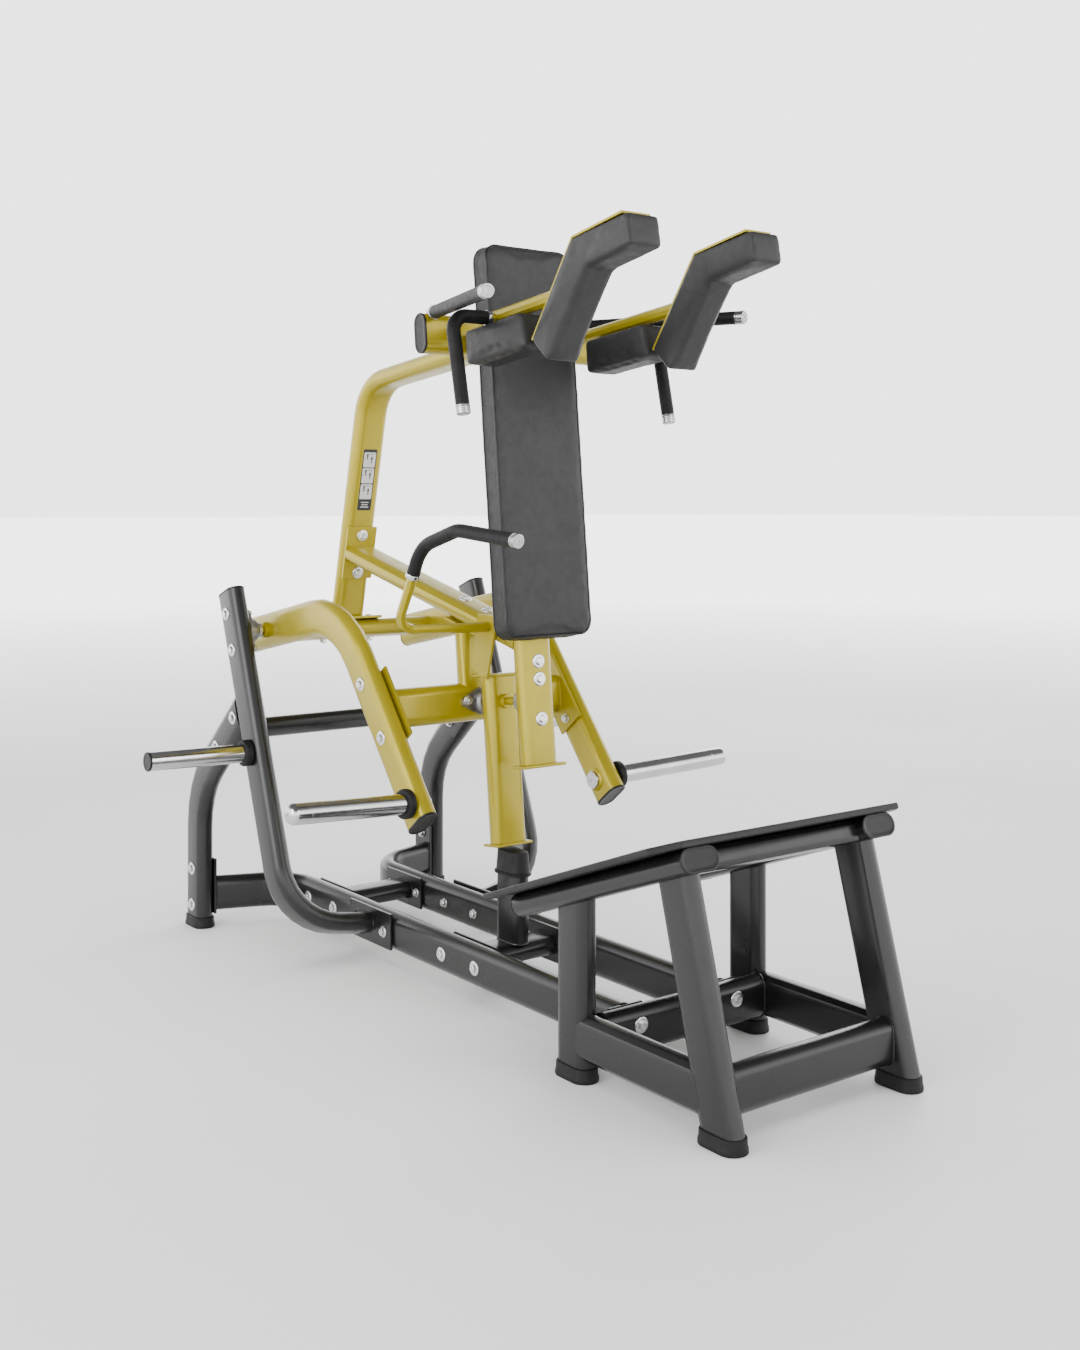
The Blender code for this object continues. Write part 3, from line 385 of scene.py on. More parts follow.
def smooth_by_angle():
    """Node group: smooth shading, with edges over SHARP_ANGLE kept sharp."""
    group = bpy.data.node_groups.new("smooth_by_angle", "GeometryNodeTree")
    for way in ("INPUT", "OUTPUT"):
        group.interface.new_socket("Geometry", in_out=way, socket_type="NodeSocketGeometry")
    add = group.nodes.new
    start, end = add("NodeGroupInput"), add("NodeGroupOutput")
    faces, edges = add("GeometryNodeSetShadeSmooth"), add("GeometryNodeSetShadeSmooth")
    angle, compare = add("GeometryNodeInputMeshEdgeAngle"), add("FunctionNodeCompare")
    edges.domain = "EDGE"
    compare.operation = "LESS_THAN"
    compare.inputs["B"].default_value = SHARP_ANGLE
    link = group.links.new
    link(start.outputs[0], faces.inputs["Geometry"])
    link(faces.outputs[0], edges.inputs["Geometry"])
    link(angle.outputs["Unsigned Angle"], compare.inputs["A"])
    link(compare.outputs[0], edges.inputs["Shade Smooth"])
    link(edges.outputs[0], end.inputs[0])
    return group


def dress_nodes():
    """Finishes for the CAD nodes, with rounds shaded smooth and flats kept flat."""
    slots = {row["node"]: row["material_slot"] for row in frame["record"]["subparts"]}
    group = smooth_by_angle()
    for name, node in NODES.items():
        finish = "grit" if name == "foot_plate" else slots[name]
        node.data.materials.clear()
        node.data.materials.append(FINISHES[finish].material)
        if "custom_normal" in node.data.attributes:
            node.data.attributes.remove(node.data.attributes["custom_normal"])
        node.modifiers.new("weld", "WELD").merge_threshold = WELD_DISTANCE
        node.modifiers.new("smooth", "NODES").node_group = group
        node.modifiers.new("flat_faces_lead", "WEIGHTED_NORMAL").keep_sharp = True


# ---------------------------------------------------------------- fasteners
HEX = 0.0104            # corner radius of an 18 mm hexagon
BEARING_EAR = 0.012     # thickness of a bearing's flange at its bolts
EAR_BOLTS = (-0.050, 0.050)


def bolt(piece, spot, outward, washer=0.0180):
    """A wide rounded washer under a hexagon head with a chamfered, dished top."""
    matrix = seat(spot, outward)
    disc = [(washer, -0.0004), (washer, 0.0012), (washer - 0.0006, 0.0021), (washer - 0.0018, 0.0027),
            (0.0112, 0.0030)]
    piece.turned(disc, matrix, 36)
    hexagon = [(HEX, 0.0020), (HEX, 0.0078), (HEX - 0.0012, 0.0086), (0.0072, 0.0086), (0.0064, 0.0079)]
    piece.loft([(circle(radius, 6, 0.3), height) for radius, height in hexagon], matrix)


def nut(piece, spot, outward):
    """The far end of a through bolt: washer, nut and a short thread."""
    matrix = seat(spot, outward)
    piece.turned([(0.0125, -0.0004), (0.0125, 0.0014), (0.0119, 0.0020)], matrix)
    hexagon = [(HEX - 0.0010, 0.0018), (HEX, 0.0028), (HEX, 0.0088), (HEX - 0.0012, 0.0098)]
    piece.loft([(circle(radius, 6, 0.1), height) for radius, height in hexagon], matrix)
    piece.turned([(0.0050, 0.0090), (0.0050, 0.0118), (0.0042, 0.0128)], matrix, 16)


def through_bolt(piece, centre, outward, bolt_depth, nut_depth, washer=0.0180):
    """A bolt and its nut, each at its own depth from the middle of the tube."""
    bolt(piece, centre + outward * bolt_depth, outward, washer)
    nut(piece, centre - outward * nut_depth, -outward)


def frame_fasteners():
    for side, name in SIDES:
        out = X * side
        piece = Piece("bolts_frame_" + name)
        for back in (1.855, 1.709, 1.157, 1.010):
            through_bolt(piece, at(side * RAIL_X, back, RAIL_Z), out, HALF_THIN, BOLTED)
        for back in (1.425, 1.572):
            through_bolt(piece, at(side * RAIL_X, back, 0.088), out, BOLTED, HALF_THIN + GAP, 0.0150)
        for back, z in ((1.843, 0.919), (1.805, 0.822)):
            bolt(piece, at(side * (UPRIGHT_X + HALF_THIN), back, z), out)
        for back, z in ((REAR_LEG_BACK, 0.167), (1.921, 0.540), (1.812, 0.634)):
            through_bolt(piece, at(side * REAR_LEG_X, back, z), out, HALF_THIN, BOLTED)
        bolt(piece, at(side * (REAR_LEG_X + HALF_THIN), REAR_LEG_BACK, 0.062), out)
        bolt(piece, at(side * RAIL_X, STAND_CROSS_BACKS[1] - HALF_THIN, 0.109), -Y)
        piece.done("zinc", "floor_frame", "chrome")
        ears = Piece("bolts_pivot_bearing_" + name)
        flange = at(side * (UPRIGHT_X - HALF_THIN - GAP - BEARING_EAR), *PIVOT)
        for shift in EAR_BOLTS:
            nut(ears, flange + UPRIGHT_UP * shift, -out)
        ears.done("zinc", "floor_frame", "chrome")


def lever_fasteners():
    for side, name in SIDES:
        piece = Piece("bolts_arm_" + name)
        for back, z in ((1.296, 0.767), (1.195, 0.644)):
            through_bolt(piece, at(side * ARM_X, back, z), X * side, HALF_THIN, BOLTED)
        piece.done("zinc", "lever", "chrome")
    piece = Piece("bolts_lever_middle")
    up = unit(0, math.sin(ARM_REAR), math.cos(ARM_REAR))
    for x in (-0.080, 0.080):
        through_bolt(piece, at(x, *ARM_CROSS), up, BOLTED, HALF_THIN)
    forward, face = unit(0, -1, -REAR_POST_SLOPE), HALF_THIN / 0.98
    for z in (1.139, 1.030):
        through_bolt(piece, at(0, rear_post_back(z), z), forward, face + GAP + PLATE, face)
    for back in (1.301, 1.195):
        through_bolt(piece, at(0, back, brace_z(back)), unit(0, -BRACE_SLOPE, 1), HALF_THIN,
                     HALF_THIN + PLATE + 0.0012)
    for z in (0.831, 0.787, 0.689):
        bolt(piece, at(0, post_back(z), z) + LEAN_FORWARD * HALF_THIN, LEAN_FORWARD)
    depth = LEAN_FORWARD * (HALF_THIN + GAP + BEARING_EAR)
    for shift in EAR_BOLTS:
        nut(piece, at(0, *CROSSBAR) + depth + X * shift + LEAN_UP * 0.0065, LEAN_FORWARD)
    front = at(0, post_back(STOP_AXIS[1]), STOP_AXIS[1]) - depth
    for shift in EAR_BOLTS:
        nut(piece, front + LEAN_UP * (shift + 0.008), -LEAN_FORWARD)
    piece.done("zinc", "lever", "chrome")


# ---------------------------------------------------------------- plugs and feet
def plug(piece, spot, outward, across, size=STADIUM):
    """A black push-in cap: a shallow dish inside a rounded rim."""
    rings = [(0.0006, -0.0015), (0.0006, 0.0020), (-0.0004, 0.0034), (-0.0028, 0.0040), (-0.0046, 0.0034),
             (-0.0062, 0.0026), (-0.0120, 0.0024)]
    piece.loft([(oval(grow, size), height) for grow, height in rings], seat(spot, outward, across))


def plugs():
    tilt = math.atan(BEAM_SLOPE)
    beam_rear = (BEAM_FRONT + BEAM_RUN, BEAM_Z - BEAM_SLOPE * BEAM_RUN)
    forward = Vector((0, -math.cos(tilt), math.sin(tilt)))
    rear = Vector((0, math.cos(ARM_REAR), -math.sin(ARM_REAR)))
    low = Vector((0, -math.cos(ARM_FRONT), -math.sin(ARM_FRONT)))
    frame_plugs, lever_plugs = Piece("frame_tube_plugs"), Piece("lever_tube_plugs")
    for side, _ in SIDES:
        plug(frame_plugs, at(side * BEAM_X, BEAM_FRONT, BEAM_Z), forward, X)
        plug(frame_plugs, at(side * BEAM_X, *beam_rear), -forward, X)
        top = at(side * UPRIGHT_X, UPRIGHT_FOOT + UPRIGHT_SLOPE * UPRIGHT_TOP, UPRIGHT_TOP)
        plug(frame_plugs, top, UPRIGHT_UP, X.cross(UPRIGHT_UP))
        plug(lever_plugs, at(side * YOKE_HALF, *YOKE), X * side, LEAN_UP)
        plug(lever_plugs, at(side * ARM_X, *PIVOT) + rear * 0.242, rear, X.cross(rear))
        plug(lever_plugs, at(side * ARM_X, 1.440, 0.945) + low * 0.630, low, X.cross(low))
    frame_plugs.done("plug", "floor_frame", "black_rubber")
    lever_plugs.done("plug", "lever", "black_rubber")


def feet():
    """Moulded rubber boots: a flared sole under a collar that hugs the leg."""
    rings = [(0.0044, 0.0), (0.0064, 0.0010), (0.0070, 0.0030), (0.0066, 0.0105), (0.0050, 0.0132),
             (0.0046, 0.0270), (0.0038, 0.0296), (0.0022, 0.0308), (0.0006, 0.0310)]
    for name in [n for n in NODES if n.startswith("foot_") and n != "foot_plate"]:
        low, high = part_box(name)
        middle = (low + high) / 2
        spot = Vector((middle.x, middle.y, low.z))
        boot = Piece("rubber_" + name)
        boot.loft([(oval(grow), height) for grow, height in rings], seat(spot, Z, Y))
        boot.done("black_rubber", "floor_frame", "black_rubber", [name], angle=40)


def bumper():
    """The stop leg's rubber bumper: a wide lip under a tapering block."""
    low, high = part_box("stop_bumper")
    middle, height = (low + high) / 2, high.z - low.z
    rings = [(0.0060, 0.0), (0.0074, 0.0010), (0.0076, 0.0060), (0.0064, 0.0076), (0.0036, 0.0084),
             (0.0028, 0.0100), (-0.0006, height - 0.0036), (-0.0018, height - 0.0012), (-0.0044, height)]
    made = Piece("stop_leg_bumper")
    made.loft([(oval(grow), z) for grow, z in rings], seat(Vector((middle.x, middle.y, low.z)), Z, Y))
    made.done("black_rubber", "floor_frame", "black_rubber", ["stop_bumper"])


# ---------------------------------------------------------------- horns, grips and bearings
def dome(radius, start, rise, steps=6):
    """Profile points that round over the end of a rod."""
    return [(radius - rise + rise * math.cos(a), start + rise * math.sin(a))
            for a in (math.pi / 2 * i / steps for i in range(steps + 1))]


def horns():
    for side, name in SIDES:
        way = unit(side * 0.327, -0.046, 0.023)
        root = at(side * (ARM_X + HALF_THIN), 1.063, 0.502) + way * 0.0045
        rod = [(0.0250, 0.010), (0.0250, 0.300), (0.0246, 0.3004), (0.0246, 0.3014), (0.0250, 0.3018)]
        rod += dome(0.0250, 0.336, 0.0170)[:-1] + [(0.0080, 0.3530), (0.0026, 0.3530), (0.0020, 0.3510)]
        Piece("loading_horn_" + name).turned(rod, seat(root, way), 40).done(
            "chrome", "lever", "chrome", ["weight_horn_" + name])
        horn_collar("loading_collar_" + name, root, way, "lever", 0.0362, 0.0195)
        inside = seat(at(side * (ARM_X - HALF_THIN), 1.080, 0.4935), -X * side)
        end = [(0.0230, -0.001), (0.0230, 0.0105), (0.0216, 0.0120), (0.0030, 0.0122), (0.0022, 0.0108)]
        Piece("horn_end_" + name).turned(end, inside, 40).done("chrome", "lever", "chrome")
        fillet = [(0.0300, -0.001), (0.0296, 0.0016), (0.0262, 0.0044), (0.0228, 0.0056)]
        Piece("horn_ring_" + name).turned(fillet, inside, 40).done("yellow_paint", "lever", "yellow_paint")
        store = unit(side, 0, 0.015)
        foot = at(side * (UPRIGHT_X + HALF_THIN + GAP), UPRIGHT_FOOT + UPRIGHT_SLOPE * 0.553, 0.553)
        rod = [(0.0250, 0.010), (0.0250, 0.2840), (0.0242, 0.2850)]
        Piece("storage_rod_" + name).turned(rod, seat(foot, store), 40).done(
            "chrome", "floor_frame", "chrome", ["storage_horn_" + name])
        end = [(0.0250, 0.2840), (0.0254, 0.2860), (0.0254, 0.2885), (0.0240, 0.2900), (0.0170, 0.2900),
               (0.0160, 0.2892)]
        Piece("storage_plug_" + name).turned(end, seat(foot, store), 40).done(
            "plug", "floor_frame", "black_rubber")
        horn_collar("storage_collar_" + name, foot, store, "floor_frame", 0.0355, 0.0235)


def horn_collar(name, root, way, body, radius, length):
    """The rubber ring that plates rest against."""
    profile = [(radius - 0.003, 0.0006), (radius, 0.0030), (radius, length - 0.006),
               (radius - 0.0012, length - 0.003), (radius - 0.004, length - 0.0006), (0.0290, length),
               (0.0262, length - 0.0006)]
    Piece(name).turned(profile, seat(root, way), 40).done("black_rubber", body, "black_rubber")


CAP_START = 0.012       # how far short of its tip a grip ends, under the cap


def end_cap(name, tip, way, body, length=0.020):
    """A ridged aluminium cap on the end of a grip, with a ring and a dot turned into its face."""
    profile = [(0.0150, -length), (0.0163, -length), (0.0167, 0.0008 - length)]
    for step in range(1, 4):
        ridge = -length + step * length / 4
        profile += [(0.0167, ridge - 0.0008), (0.0158, ridge - 0.0004), (0.0158, ridge + 0.0004),
                    (0.0167, ridge + 0.0008)]
    profile += [(0.0167, 0.0008), (0.0156, 0.0020), (0.0112, 0.0020), (0.0107, 0.0008), (0.0093, 0.0008),
                (0.0088, 0.0020), (0.0036, 0.0020), (0.0030, 0.0004)]
    Piece(name).turned(profile, seat(tip, way), 36).done("aluminium", body, "chrome")


def base_collar(name, root, way, body):
    """The chrome ring where a grip starts."""
    profile = [(0.0150, -0.0080), (0.0176, -0.0080), (0.0182, -0.0070), (0.0182, 0.0030), (0.0176, 0.0040),
               (0.0164, 0.0042)]
    Piece(name).turned(profile, seat(root, way), 36).done("chrome", body, "chrome")


def along_path(points, step=0.004):
    """The path resampled at an even step."""
    made = [points[0]]
    for start, end in zip(points, points[1:]):
        count = max(1, round((end - start).length / step))
        made += [start.lerp(end, i / count) for i in range(1, count + 1)]
    return made


def grip(name, points, body, node):
    path = along_path(points)
    piece = Piece(name).sweep(path, GRIP_RADIUS, 22, ripple=0.002, pitch=0.021)
    piece.done("black_grip", body, "black_grip", [node])


def upper_handle(side, name):
    """A straight handle, out and forward from the yoke."""
    root, tip = at(side * 0.2275, 1.118, 1.6935), at(side * 0.387, 0.642, 1.685)
    way = (tip - root).normalized()
    grip("upper_foam_" + name, [root + way * 0.052, tip - way * CAP_START], "lever", "upper_handle_" + name)
    stub = [(0.0140, 0.018), (0.0140, 0.050), (0.0150, 0.051)]
    Piece("upper_stub_" + name).turned(stub, seat(root, way), 28).done(
        "yellow_paint", "lever", "yellow_paint")
    base_collar("upper_collar_" + name, root + way * 0.056, way, "lever")
    end_cap("upper_cap_" + name, tip, way, "lever")


def down_grip(side, name):
    """A bent handle, out from the yoke tube and down."""
    out, back, z = X * side, 0.888, yoke_tube_z(0.888) - 0.005
    start = at(side * (YOKE_TUBE_X + YOKE_TUBE_RADIUS + 0.0006), back, z)
    corner, tip = at(side * 0.315, back, z), at(side * 0.315, 0.838, 1.432)
    down = (tip - corner).normalized()
    path = rounded([start + out * 0.014, corner, tip - down * CAP_START], 0.042)
    grip("down_foam_" + name, path, "lever", "down_grip_" + name)
    base_collar("down_collar_" + name, start + out * 0.016, out, "lever")
    neck = Piece("down_neck_" + name).turned([(0.0130, -0.004), (0.0130, 0.012)], seat(start, out), 24)
    neck.done("yellow_paint", "lever", "yellow_paint")
    end_cap("down_cap_" + name, tip, down, "lever")


def stop_handle():
    """The stop leg's handle: up from the elbow on its tube, over a crest and forward."""
    x = -0.300
    foot = at(x, 1.081, 1.047)
    up = (foot - at(x, stop_leg_back(STOP_ELBOW_Z), STOP_ELBOW_Z)).normalized()
    shoulder, crest, tip = at(x, 1.046, 1.120), at(x, 0.886, 1.1630), at(x, 0.648, 1.142)
    forward = (tip - crest).normalized()
    path = rounded([foot + up * 0.005, shoulder, crest, tip - forward * CAP_START], 0.105)
    grip("stop_foam", path, "stop_leg", "stop_handle_grip")
    base_collar("stop_collar", foot + up * 0.006, up, "stop_leg")
    end_cap("stop_cap", tip, forward, "stop_leg", 0.014)


def handles():
    for side, name in SIDES:
        upper_handle(side, name)
        down_grip(side, name)
    stop_handle()


def bearings():
    """Locking collars on the shafts, and a grease nipple on each bearing housing."""
    for side, name in SIDES:
        out = -X * side
        face = at(side * (UPRIGHT_X - HALF_THIN - GAP), *PIVOT)
        collar = Piece("pivot_lock_collar_" + name)
        ring = [(0.0130, 0.0325), (0.0205, 0.0325), (0.0212, 0.0332), (0.0212, 0.0410), (0.0205, 0.0418),
                (0.0130, 0.0418)]
        collar.turned(ring, seat(face, out), 32)
        screw = [(0.0032, 0.0), (0.0032, 0.0030), (0.0016, 0.0030), (0.0014, 0.0018)]
        collar.turned(screw, seat(face + out * 0.0372 + Z * 0.0206, Z), 12)
        collar.done("zinc", "lever", "bearing_steel")
        tip = [(0.0036, -0.003), (0.0036, 0.0035), (0.0022, 0.0045), (0.0022, 0.0070), (0.0030, 0.0082),
               (0.0016, 0.0100)]
        nipple = Piece("grease_nipple_" + name).turned(tip, seat(face + out * 0.013 + Y * 0.0325, Y), 14)
        nipple.done("zinc", "floor_frame", "bearing_steel")
    hub = Piece("stop_leg_hubs")
    for low, high in ((-0.0375, -0.0245), (0.0245, 0.0315)):
        hub.turned([(0.0175, low), (0.0185, low + 0.001), (0.0185, high - 0.001), (0.0175, high)],
                   seat(at(0, *STOP_AXIS), -LEAN_FORWARD), 28)
    hub.done("yellow_paint", "stop_leg", "yellow_paint")


# ---------------------------------------------------------------- welds
WELD_RADIUS = 0.0024


def weld_ring(piece, spot, outward, across, size=STADIUM):
    """A scalloped fillet bead round a tube's section."""
    matrix = seat(spot, outward, across)
    outline = [matrix @ Vector((*point, 0.0)) for point in oval(0.0, size, 12)]
    path = along_path(outline + [outline[0]], 0.0015)[:-1]
    piece.sweep(path, WELD_RADIUS, 6, closed=True, ripple=0.14)


def welds():
    black, yellow, leg = Piece("frame_welds"), Piece("lever_welds"), Piece("stop_leg_welds")
    for side, _ in SIDES:
        out = X * side
        for back in CROSS_MEMBER_BACKS:
            weld_ring(black, at(side * (RAIL_X - BOLTED), back, RAIL_Z), out, Y)
        weld_ring(black, at(side * RAIL_X, STAND_CROSS_BACKS[1] + BOLTED, RAIL_Z), Y, Z)
        weld_ring(black, at(side * (RAIL_X + BOLTED), 1.5255, 0.0965), out, Y)
        weld_ring(black, at(side * (REAR_LEG_X - BOLTED), 2.0655, RAIL_Z), out, Z)
        weld_ring(black, at(side * (REAR_LEG_X - BOLTED), *REAR_CROSSBAR), out, unit(0, -1.074, 1),
                  (0.070, 0.040))
        for back in STAND_CROSS_BACKS:
            weld_ring(black, at(side * STAND_CROSS_X, back, STAND_CROSS_Z), out, Z)
        weld_ring(yellow, at(side * (ARM_X - BOLTED), *CROSSBAR), out, LEAN_UP)
        weld_ring(yellow, at(side * (ARM_X - HALF_THIN), *ARM_CROSS), out,
                  unit(0, math.cos(ARM_REAR), -math.sin(ARM_REAR)))
    weld_ring(black, at(0, STOP_POST_BACK, RAIL_Z + HALF_THIN + GAP), Z, Y)
    weld_ring(yellow, at(0, POST_BACK, POST_Z) + LEAN_UP * 0.0008, LEAN_UP, X)
    for z in STOP_LEG_ENDS:
        weld_ring(leg, at(0, stop_leg_back(z), z), LEAN_UP, X)
    black.done("black_paint", "floor_frame", "black_paint")
    yellow.done("yellow_paint", "lever", "yellow_paint")
    leg.done("yellow_paint", "stop_leg", "yellow_paint")


# ---------------------------------------------------------------- upholstery
PAD_MOVE = 0.0040       # the furthest that a point of a pad moves as it is stuffed
BOARD_FACING = 0.75     # faces this square to the pad's board are held by it
STUFFING_FRAMES = 20
WELT_RISE = 0.1         # how far a welt's middle stands above the pad, as a part of its radius


def remeshed(node, voxel, rounds):
    """A closed, even mesh of a CAD pad, on its own object."""
    source = NODES[node]
    data = source.data.copy()
    holder = bpy.data.objects.new(node + "_work", data)
    bpy.context.scene.collection.objects.link(holder)
    holder.modifiers.new("weld", "WELD").merge_threshold = WELD_DISTANCE
    remesh = holder.modifiers.new("remesh", "REMESH")
    remesh.mode = "VOXEL"
    remesh.voxel_size = voxel
    soften = holder.modifiers.new("soften", "SMOOTH")
    soften.factor, soften.iterations = 0.5, rounds
    return applied(holder)


def applied(holder):
    """Its evaluated mesh in place of its modifiers."""
    bpy.context.view_layer.update()
    evaluated = holder.evaluated_get(bpy.context.evaluated_depsgraph_get())
    data = bpy.data.meshes.new_from_object(evaluated)
    holder.modifiers.clear()
    holder.data = data
    return holder


def inflate(holder, board):
    """Cloth with air pressure, the side on its board pinned, then smoothed and held within PAD_MOVE."""
    rest = [v.co.copy() for v in holder.data.vertices]
    pinned = holder.vertex_groups.new(name="board")
    pinned.add([v.index for v in holder.data.vertices if v.normal.dot(board) > BOARD_FACING], 1.0, "REPLACE")
    cloth = holder.modifiers.new("cloth", "CLOTH")
    settings = cloth.settings
    settings.quality = 4
    settings.mass = 0.25
    settings.tension_stiffness = settings.compression_stiffness = 18
    settings.shear_stiffness = 8
    settings.bending_stiffness = 4.0
    settings.use_pressure = True
    settings.uniform_pressure_force = 4.0
    settings.effector_weights.gravity = 0
    settings.vertex_group_mass = "board"
    cloth.point_cache.frame_start, cloth.point_cache.frame_end = 1, STUFFING_FRAMES
    scene = bpy.context.scene
    for number in range(1, STUFFING_FRAMES + 1):
        scene.frame_set(number)
    holder = applied(holder)
    settle = holder.modifiers.new("settle", "SMOOTH")
    settle.factor, settle.iterations = 0.5, 6
    holder = applied(holder)
    for vertex, start in zip(holder.data.vertices, rest):
        move = vertex.co - start
        if move.length > PAD_MOVE:
            vertex.co = start + move * PAD_MOVE / move.length
    scene.frame_set(1)
    return holder


def cushion(name, node, board, voxel, rounds, swell):
    """A stuffed pad from its CAD solid: softened, swollen a little, inflated as cloth, slightly uneven."""
    holder = remeshed(node, voxel, rounds)
    for vertex, normal in [(v, v.normal.copy()) for v in holder.data.vertices]:
        vertex.co += normal * swell
    holder = inflate(holder, board)
    shift = Vector((3.1, 1.7, 0.4))
    for vertex, normal in [(v, v.normal.copy()) for v in holder.data.vertices]:
        if normal.dot(board) < 0.5:
            broad, fine = noise.noise(vertex.co * 22 + shift), noise.noise(vertex.co * 70)
            vertex.co += normal * (0.0007 * broad + 0.0003 * fine)
    data = holder.data
    holder.name = name
    data.materials.clear()
    data.materials.append(FINISHES["upholstery"].material)
    data.shade_smooth()
    smooth = holder.modifiers.new("smooth_form", "SUBSURF")
    smooth.levels = smooth.render_levels = 1
    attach(holder, "lever")
    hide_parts(node)
    return holder


def surface_of(holder):
    """A tree for finding the nearest point on its evaluated surface."""
    bpy.context.view_layer.update()
    evaluated = holder.evaluated_get(bpy.context.evaluated_depsgraph_get())
    data = evaluated.to_mesh()
    tree = BVHTree.FromPolygons([holder.matrix_world @ v.co for v in data.vertices],
                                [tuple(p.vertices) for p in data.polygons])
    evaluated.to_mesh_clear()
    return tree


def welt(name, tree, path, radius):
    """A sewn bead laid on a pad's surface."""
    points = []
    for point in path:
        spot, normal, _, _ = tree.find_nearest(point)
        points.append(spot + normal * radius * WELT_RISE)
    # even out the small steps of the surface under the bead
    count = len(points)
    for _ in range(3):
        points = [(points[i - 1] + points[i] * 2 + points[(i + 1) % count]) / 4 for i in range(count)]
    bead = Piece(name).sweep(points, radius, 8, closed=True, ripple=0.04, pitch=0.009)
    bead.done("welt", "lever", "upholstery")


def pads():
    cos = math.cos(math.atan(LEAN))
    pad = cushion("back_cushion", "back_pad", -LEAN_FORWARD, 0.0055, 2, 0.0014)
    base = at(0, post_back(PAD_Z) - HALF_THIN / cos - 0.0006, PAD_Z)
    length = (1.865 - PAD_Z) / cos
    tree = surface_of(pad)
    # the welts are real piping beads, and their dark finish is also painted shade along the pad's rounded
    # edges
    for name, depth, shrink, radius in (("front", 0.0525, 0.0045, 0.0036), ("rear", 0.0060, 0.0015, 0.0022)):
        ring = rounded_rectangle(0.133 - shrink, shrink, length - shrink, 0.030, 8)
        corners = [base + LEAN_FORWARD * depth + X * x + LEAN_UP * y for x, y in ring]
        welt("back_pad_welt_" + name, tree, along_path(corners + corners[:1])[:-1], radius)
    for _, name in SIDES:
        cushion("shoulder_cushion_" + name, "shoulder_pad_" + name, unit(0, 0.65, 0.76), 0.0042, 4, 0.0004)
        cushion("inner_cushion_" + name, "inner_pad_" + name, unit(0, 0.105, 1), 0.0042, 4, 0.0004)


# ---------------------------------------------------------------- label
def label():
    """A generic instruction label: a dark plate, three pale panels and plain marks, no lettering."""
    low, high = 1.212, 1.390
    middle = (low + high) / 2
    front, up = unit(0, -1, -REAR_POST_SLOPE), unit(0, -REAR_POST_SLOPE, 1)
    matrix = seat(at(0, rear_post_back(middle), middle) + front * (HALF_THIN + 0.0001), front, -X)
    half_height = (high - low) / up.z / 2
    plate = rounded_rectangle(0.0225, -half_height, half_height, 0.004)
    Piece("label_plate").panel(plate, matrix, 0.0004).done("label_dark", "lever", "black_rubber")
    panels, marks = Piece("label_panels"), Piece("label_marks")
    step, thick = 0.0475, 0.0003
    raised = matrix @ Matrix.Translation((0, 0, 0.00035))
    higher = matrix @ Matrix.Translation((0, 0, 0.00055))
    for i in range(3):
        top = half_height - 0.034 - i * step
        panels.panel(rounded_rectangle(0.0195, top - step + 0.003, top), raised, thick)
        centre = top - step / 2
        for x, y in ((-0.007, 0.008), (0.008, -0.002)):
            marks.panel([(x + p, centre + y + q) for p, q in circle(0.0028, 14)], higher, thick)
        for x, y, wide, tall in ((-0.007, -0.002, 0.0030, 0.006), (0.008, -0.010, 0.0030, 0.0045),
                                 (0.0, -0.0155, 0.0140, 0.0008)):
            block = rounded_rectangle(wide, -tall, tall, min(wide, tall) * 0.8)
            marks.panel([(x + p, centre + y + q) for p, q in block], higher, thick)
    for drop, half in ((0.010, 0.0140), (0.017, 0.0105), (0.024, 0.0125)):
        bar = rounded_rectangle(half, -0.0012, 0.0012, 0.0010)
        panels.panel([(x, y + half_height - drop) for x, y in bar], raised, thick)
    panels.done("label_pale", "lever", "black_rubber")
    marks.done("label_grey", "lever", "black_rubber")


# ---------------------------------------------------------------- studio
def pale_floor():
    """A pale floor that fades to white with distance."""
    floor_mesh = bpy.data.meshes.new("studio_floor")
    shape = bmesh.new()
    bmesh.ops.create_grid(shape, x_segments=4, y_segments=4, size=150.0)
    shape.to_mesh(floor_mesh)
    shape.free()
    floor = bpy.data.objects.new("studio_floor", floor_mesh)
    bpy.context.scene.collection.objects.link(floor)
    ground = Finish("pale_floor").colour((0.88, 0.88, 0.88), (0.90, 0.90, 0.90), 0.6)
    ground.roughness(0.55, 0.70, 3.0)
    distance = ground.node("ShaderNodeVectorMath", operation="LENGTH")
    ground.tree.links.new(ground.place, distance.inputs[0])
    fade = ground.map_range(distance.outputs["Value"], 3.5, 16.0, 0.0, 3.1)
    ground.tree.links.new(fade, ground.shader.inputs["Emission Strength"])
    ground.shader.inputs["Emission Color"].default_value = (1.0, 1.0, 1.0, 1.0)
    floor_mesh.materials.append(ground.material)


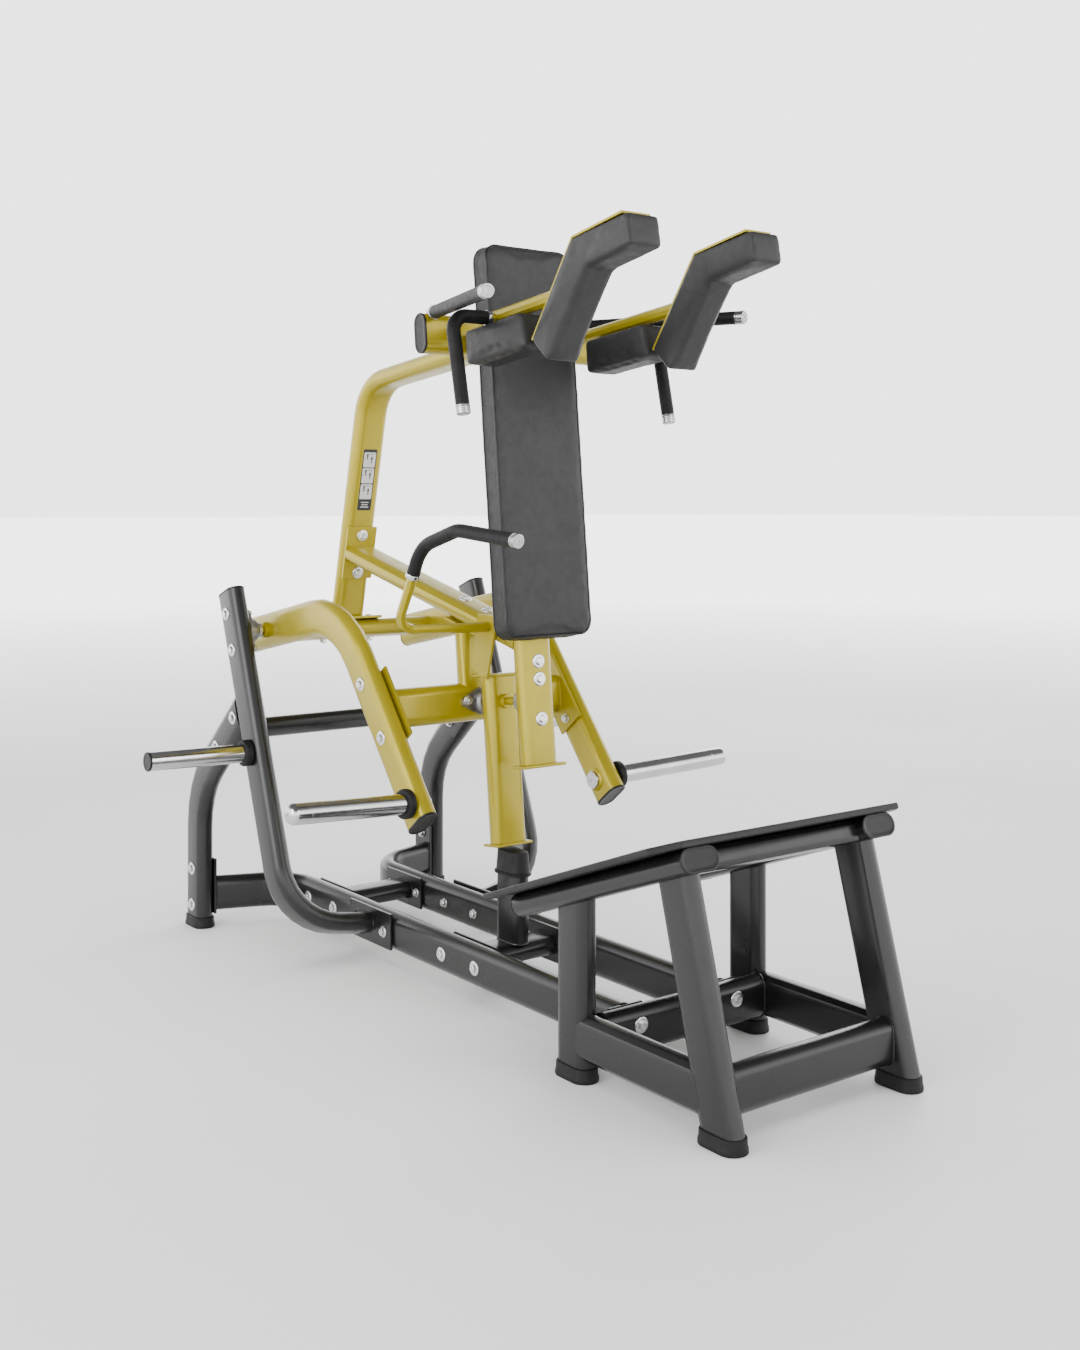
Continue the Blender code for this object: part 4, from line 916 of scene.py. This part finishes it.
def backdrop():
    """White low down, for the reflections, and grey overhead."""
    world = bpy.data.worlds.new("studio")
    bpy.context.scene.world = world
    world.use_nodes = True
    tree = world.node_tree
    background = tree.nodes["Background"]
    background.inputs["Strength"].default_value = 1.0
    direction = tree.nodes.new("ShaderNodeTexCoord")
    split = tree.nodes.new("ShaderNodeSeparateXYZ")
    rise = tree.nodes.new("ShaderNodeValToRGB")
    tree.links.new(direction.outputs["Generated"], split.inputs["Vector"])
    tree.links.new(split.outputs["Z"], rise.inputs["Fac"])
    tree.links.new(rise.outputs["Color"], background.inputs["Color"])
    low, high = rise.color_ramp.elements
    low.position, low.color = 0.30, (3.2, 3.2, 3.2, 1.0)
    high.position, high.color = 0.62, (0.22, 0.22, 0.22, 1.0)


def lamps():
    rows = (("key_left", (-4.4, -0.6, 2.4), (0.1, 0.2, 0.8), 2.6, 110.0),
            ("front", (1.4, -4.6, 3.2), (0.0, 0.0, 0.8), 2.0, 45.0),
            ("overhead", (0.0, 0.5, 9.0), (0.0, 0.5, 0.0), 12.0, 900.0),
            ("rim_right", (4.0, 2.2, 3.0), (0.0, 0.2, 0.9), 2.0, 60.0))
    for name, place, aim, size, power in rows:
        data = bpy.data.lights.new(name, "AREA")
        data.shape = "SQUARE"
        data.size = size
        data.energy = power
        lamp = bpy.data.objects.new(name, data)
        lamp.location = place
        lamp.visible_glossy = name != "overhead"
        lamp.rotation_euler = (Vector(aim) - Vector(place)).to_track_quat("-Z", "Y").to_euler()
        bpy.context.scene.collection.objects.link(lamp)


def camera():
    data = bpy.data.cameras.new("camera")
    data.sensor_fit = "VERTICAL"
    data.sensor_height = data.sensor_width = 36.0
    data.lens = 40.4
    data.shift_y = -0.1254
    data.clip_end = 200.0
    made = bpy.data.objects.new("camera", data)
    made.location = (-2.2663, FRONT - 2.0409, 1.22)
    made.rotation_euler = (math.radians(90), 0, math.radians(-37.013))
    bpy.context.scene.collection.objects.link(made)
    bpy.context.scene.camera = made


pale_floor()
backdrop()
lamps()
camera()
dress_nodes()
frame_fasteners()
lever_fasteners()
plugs()
feet()
bumper()
horns()
handles()
bearings()
welds()
pads()
label()
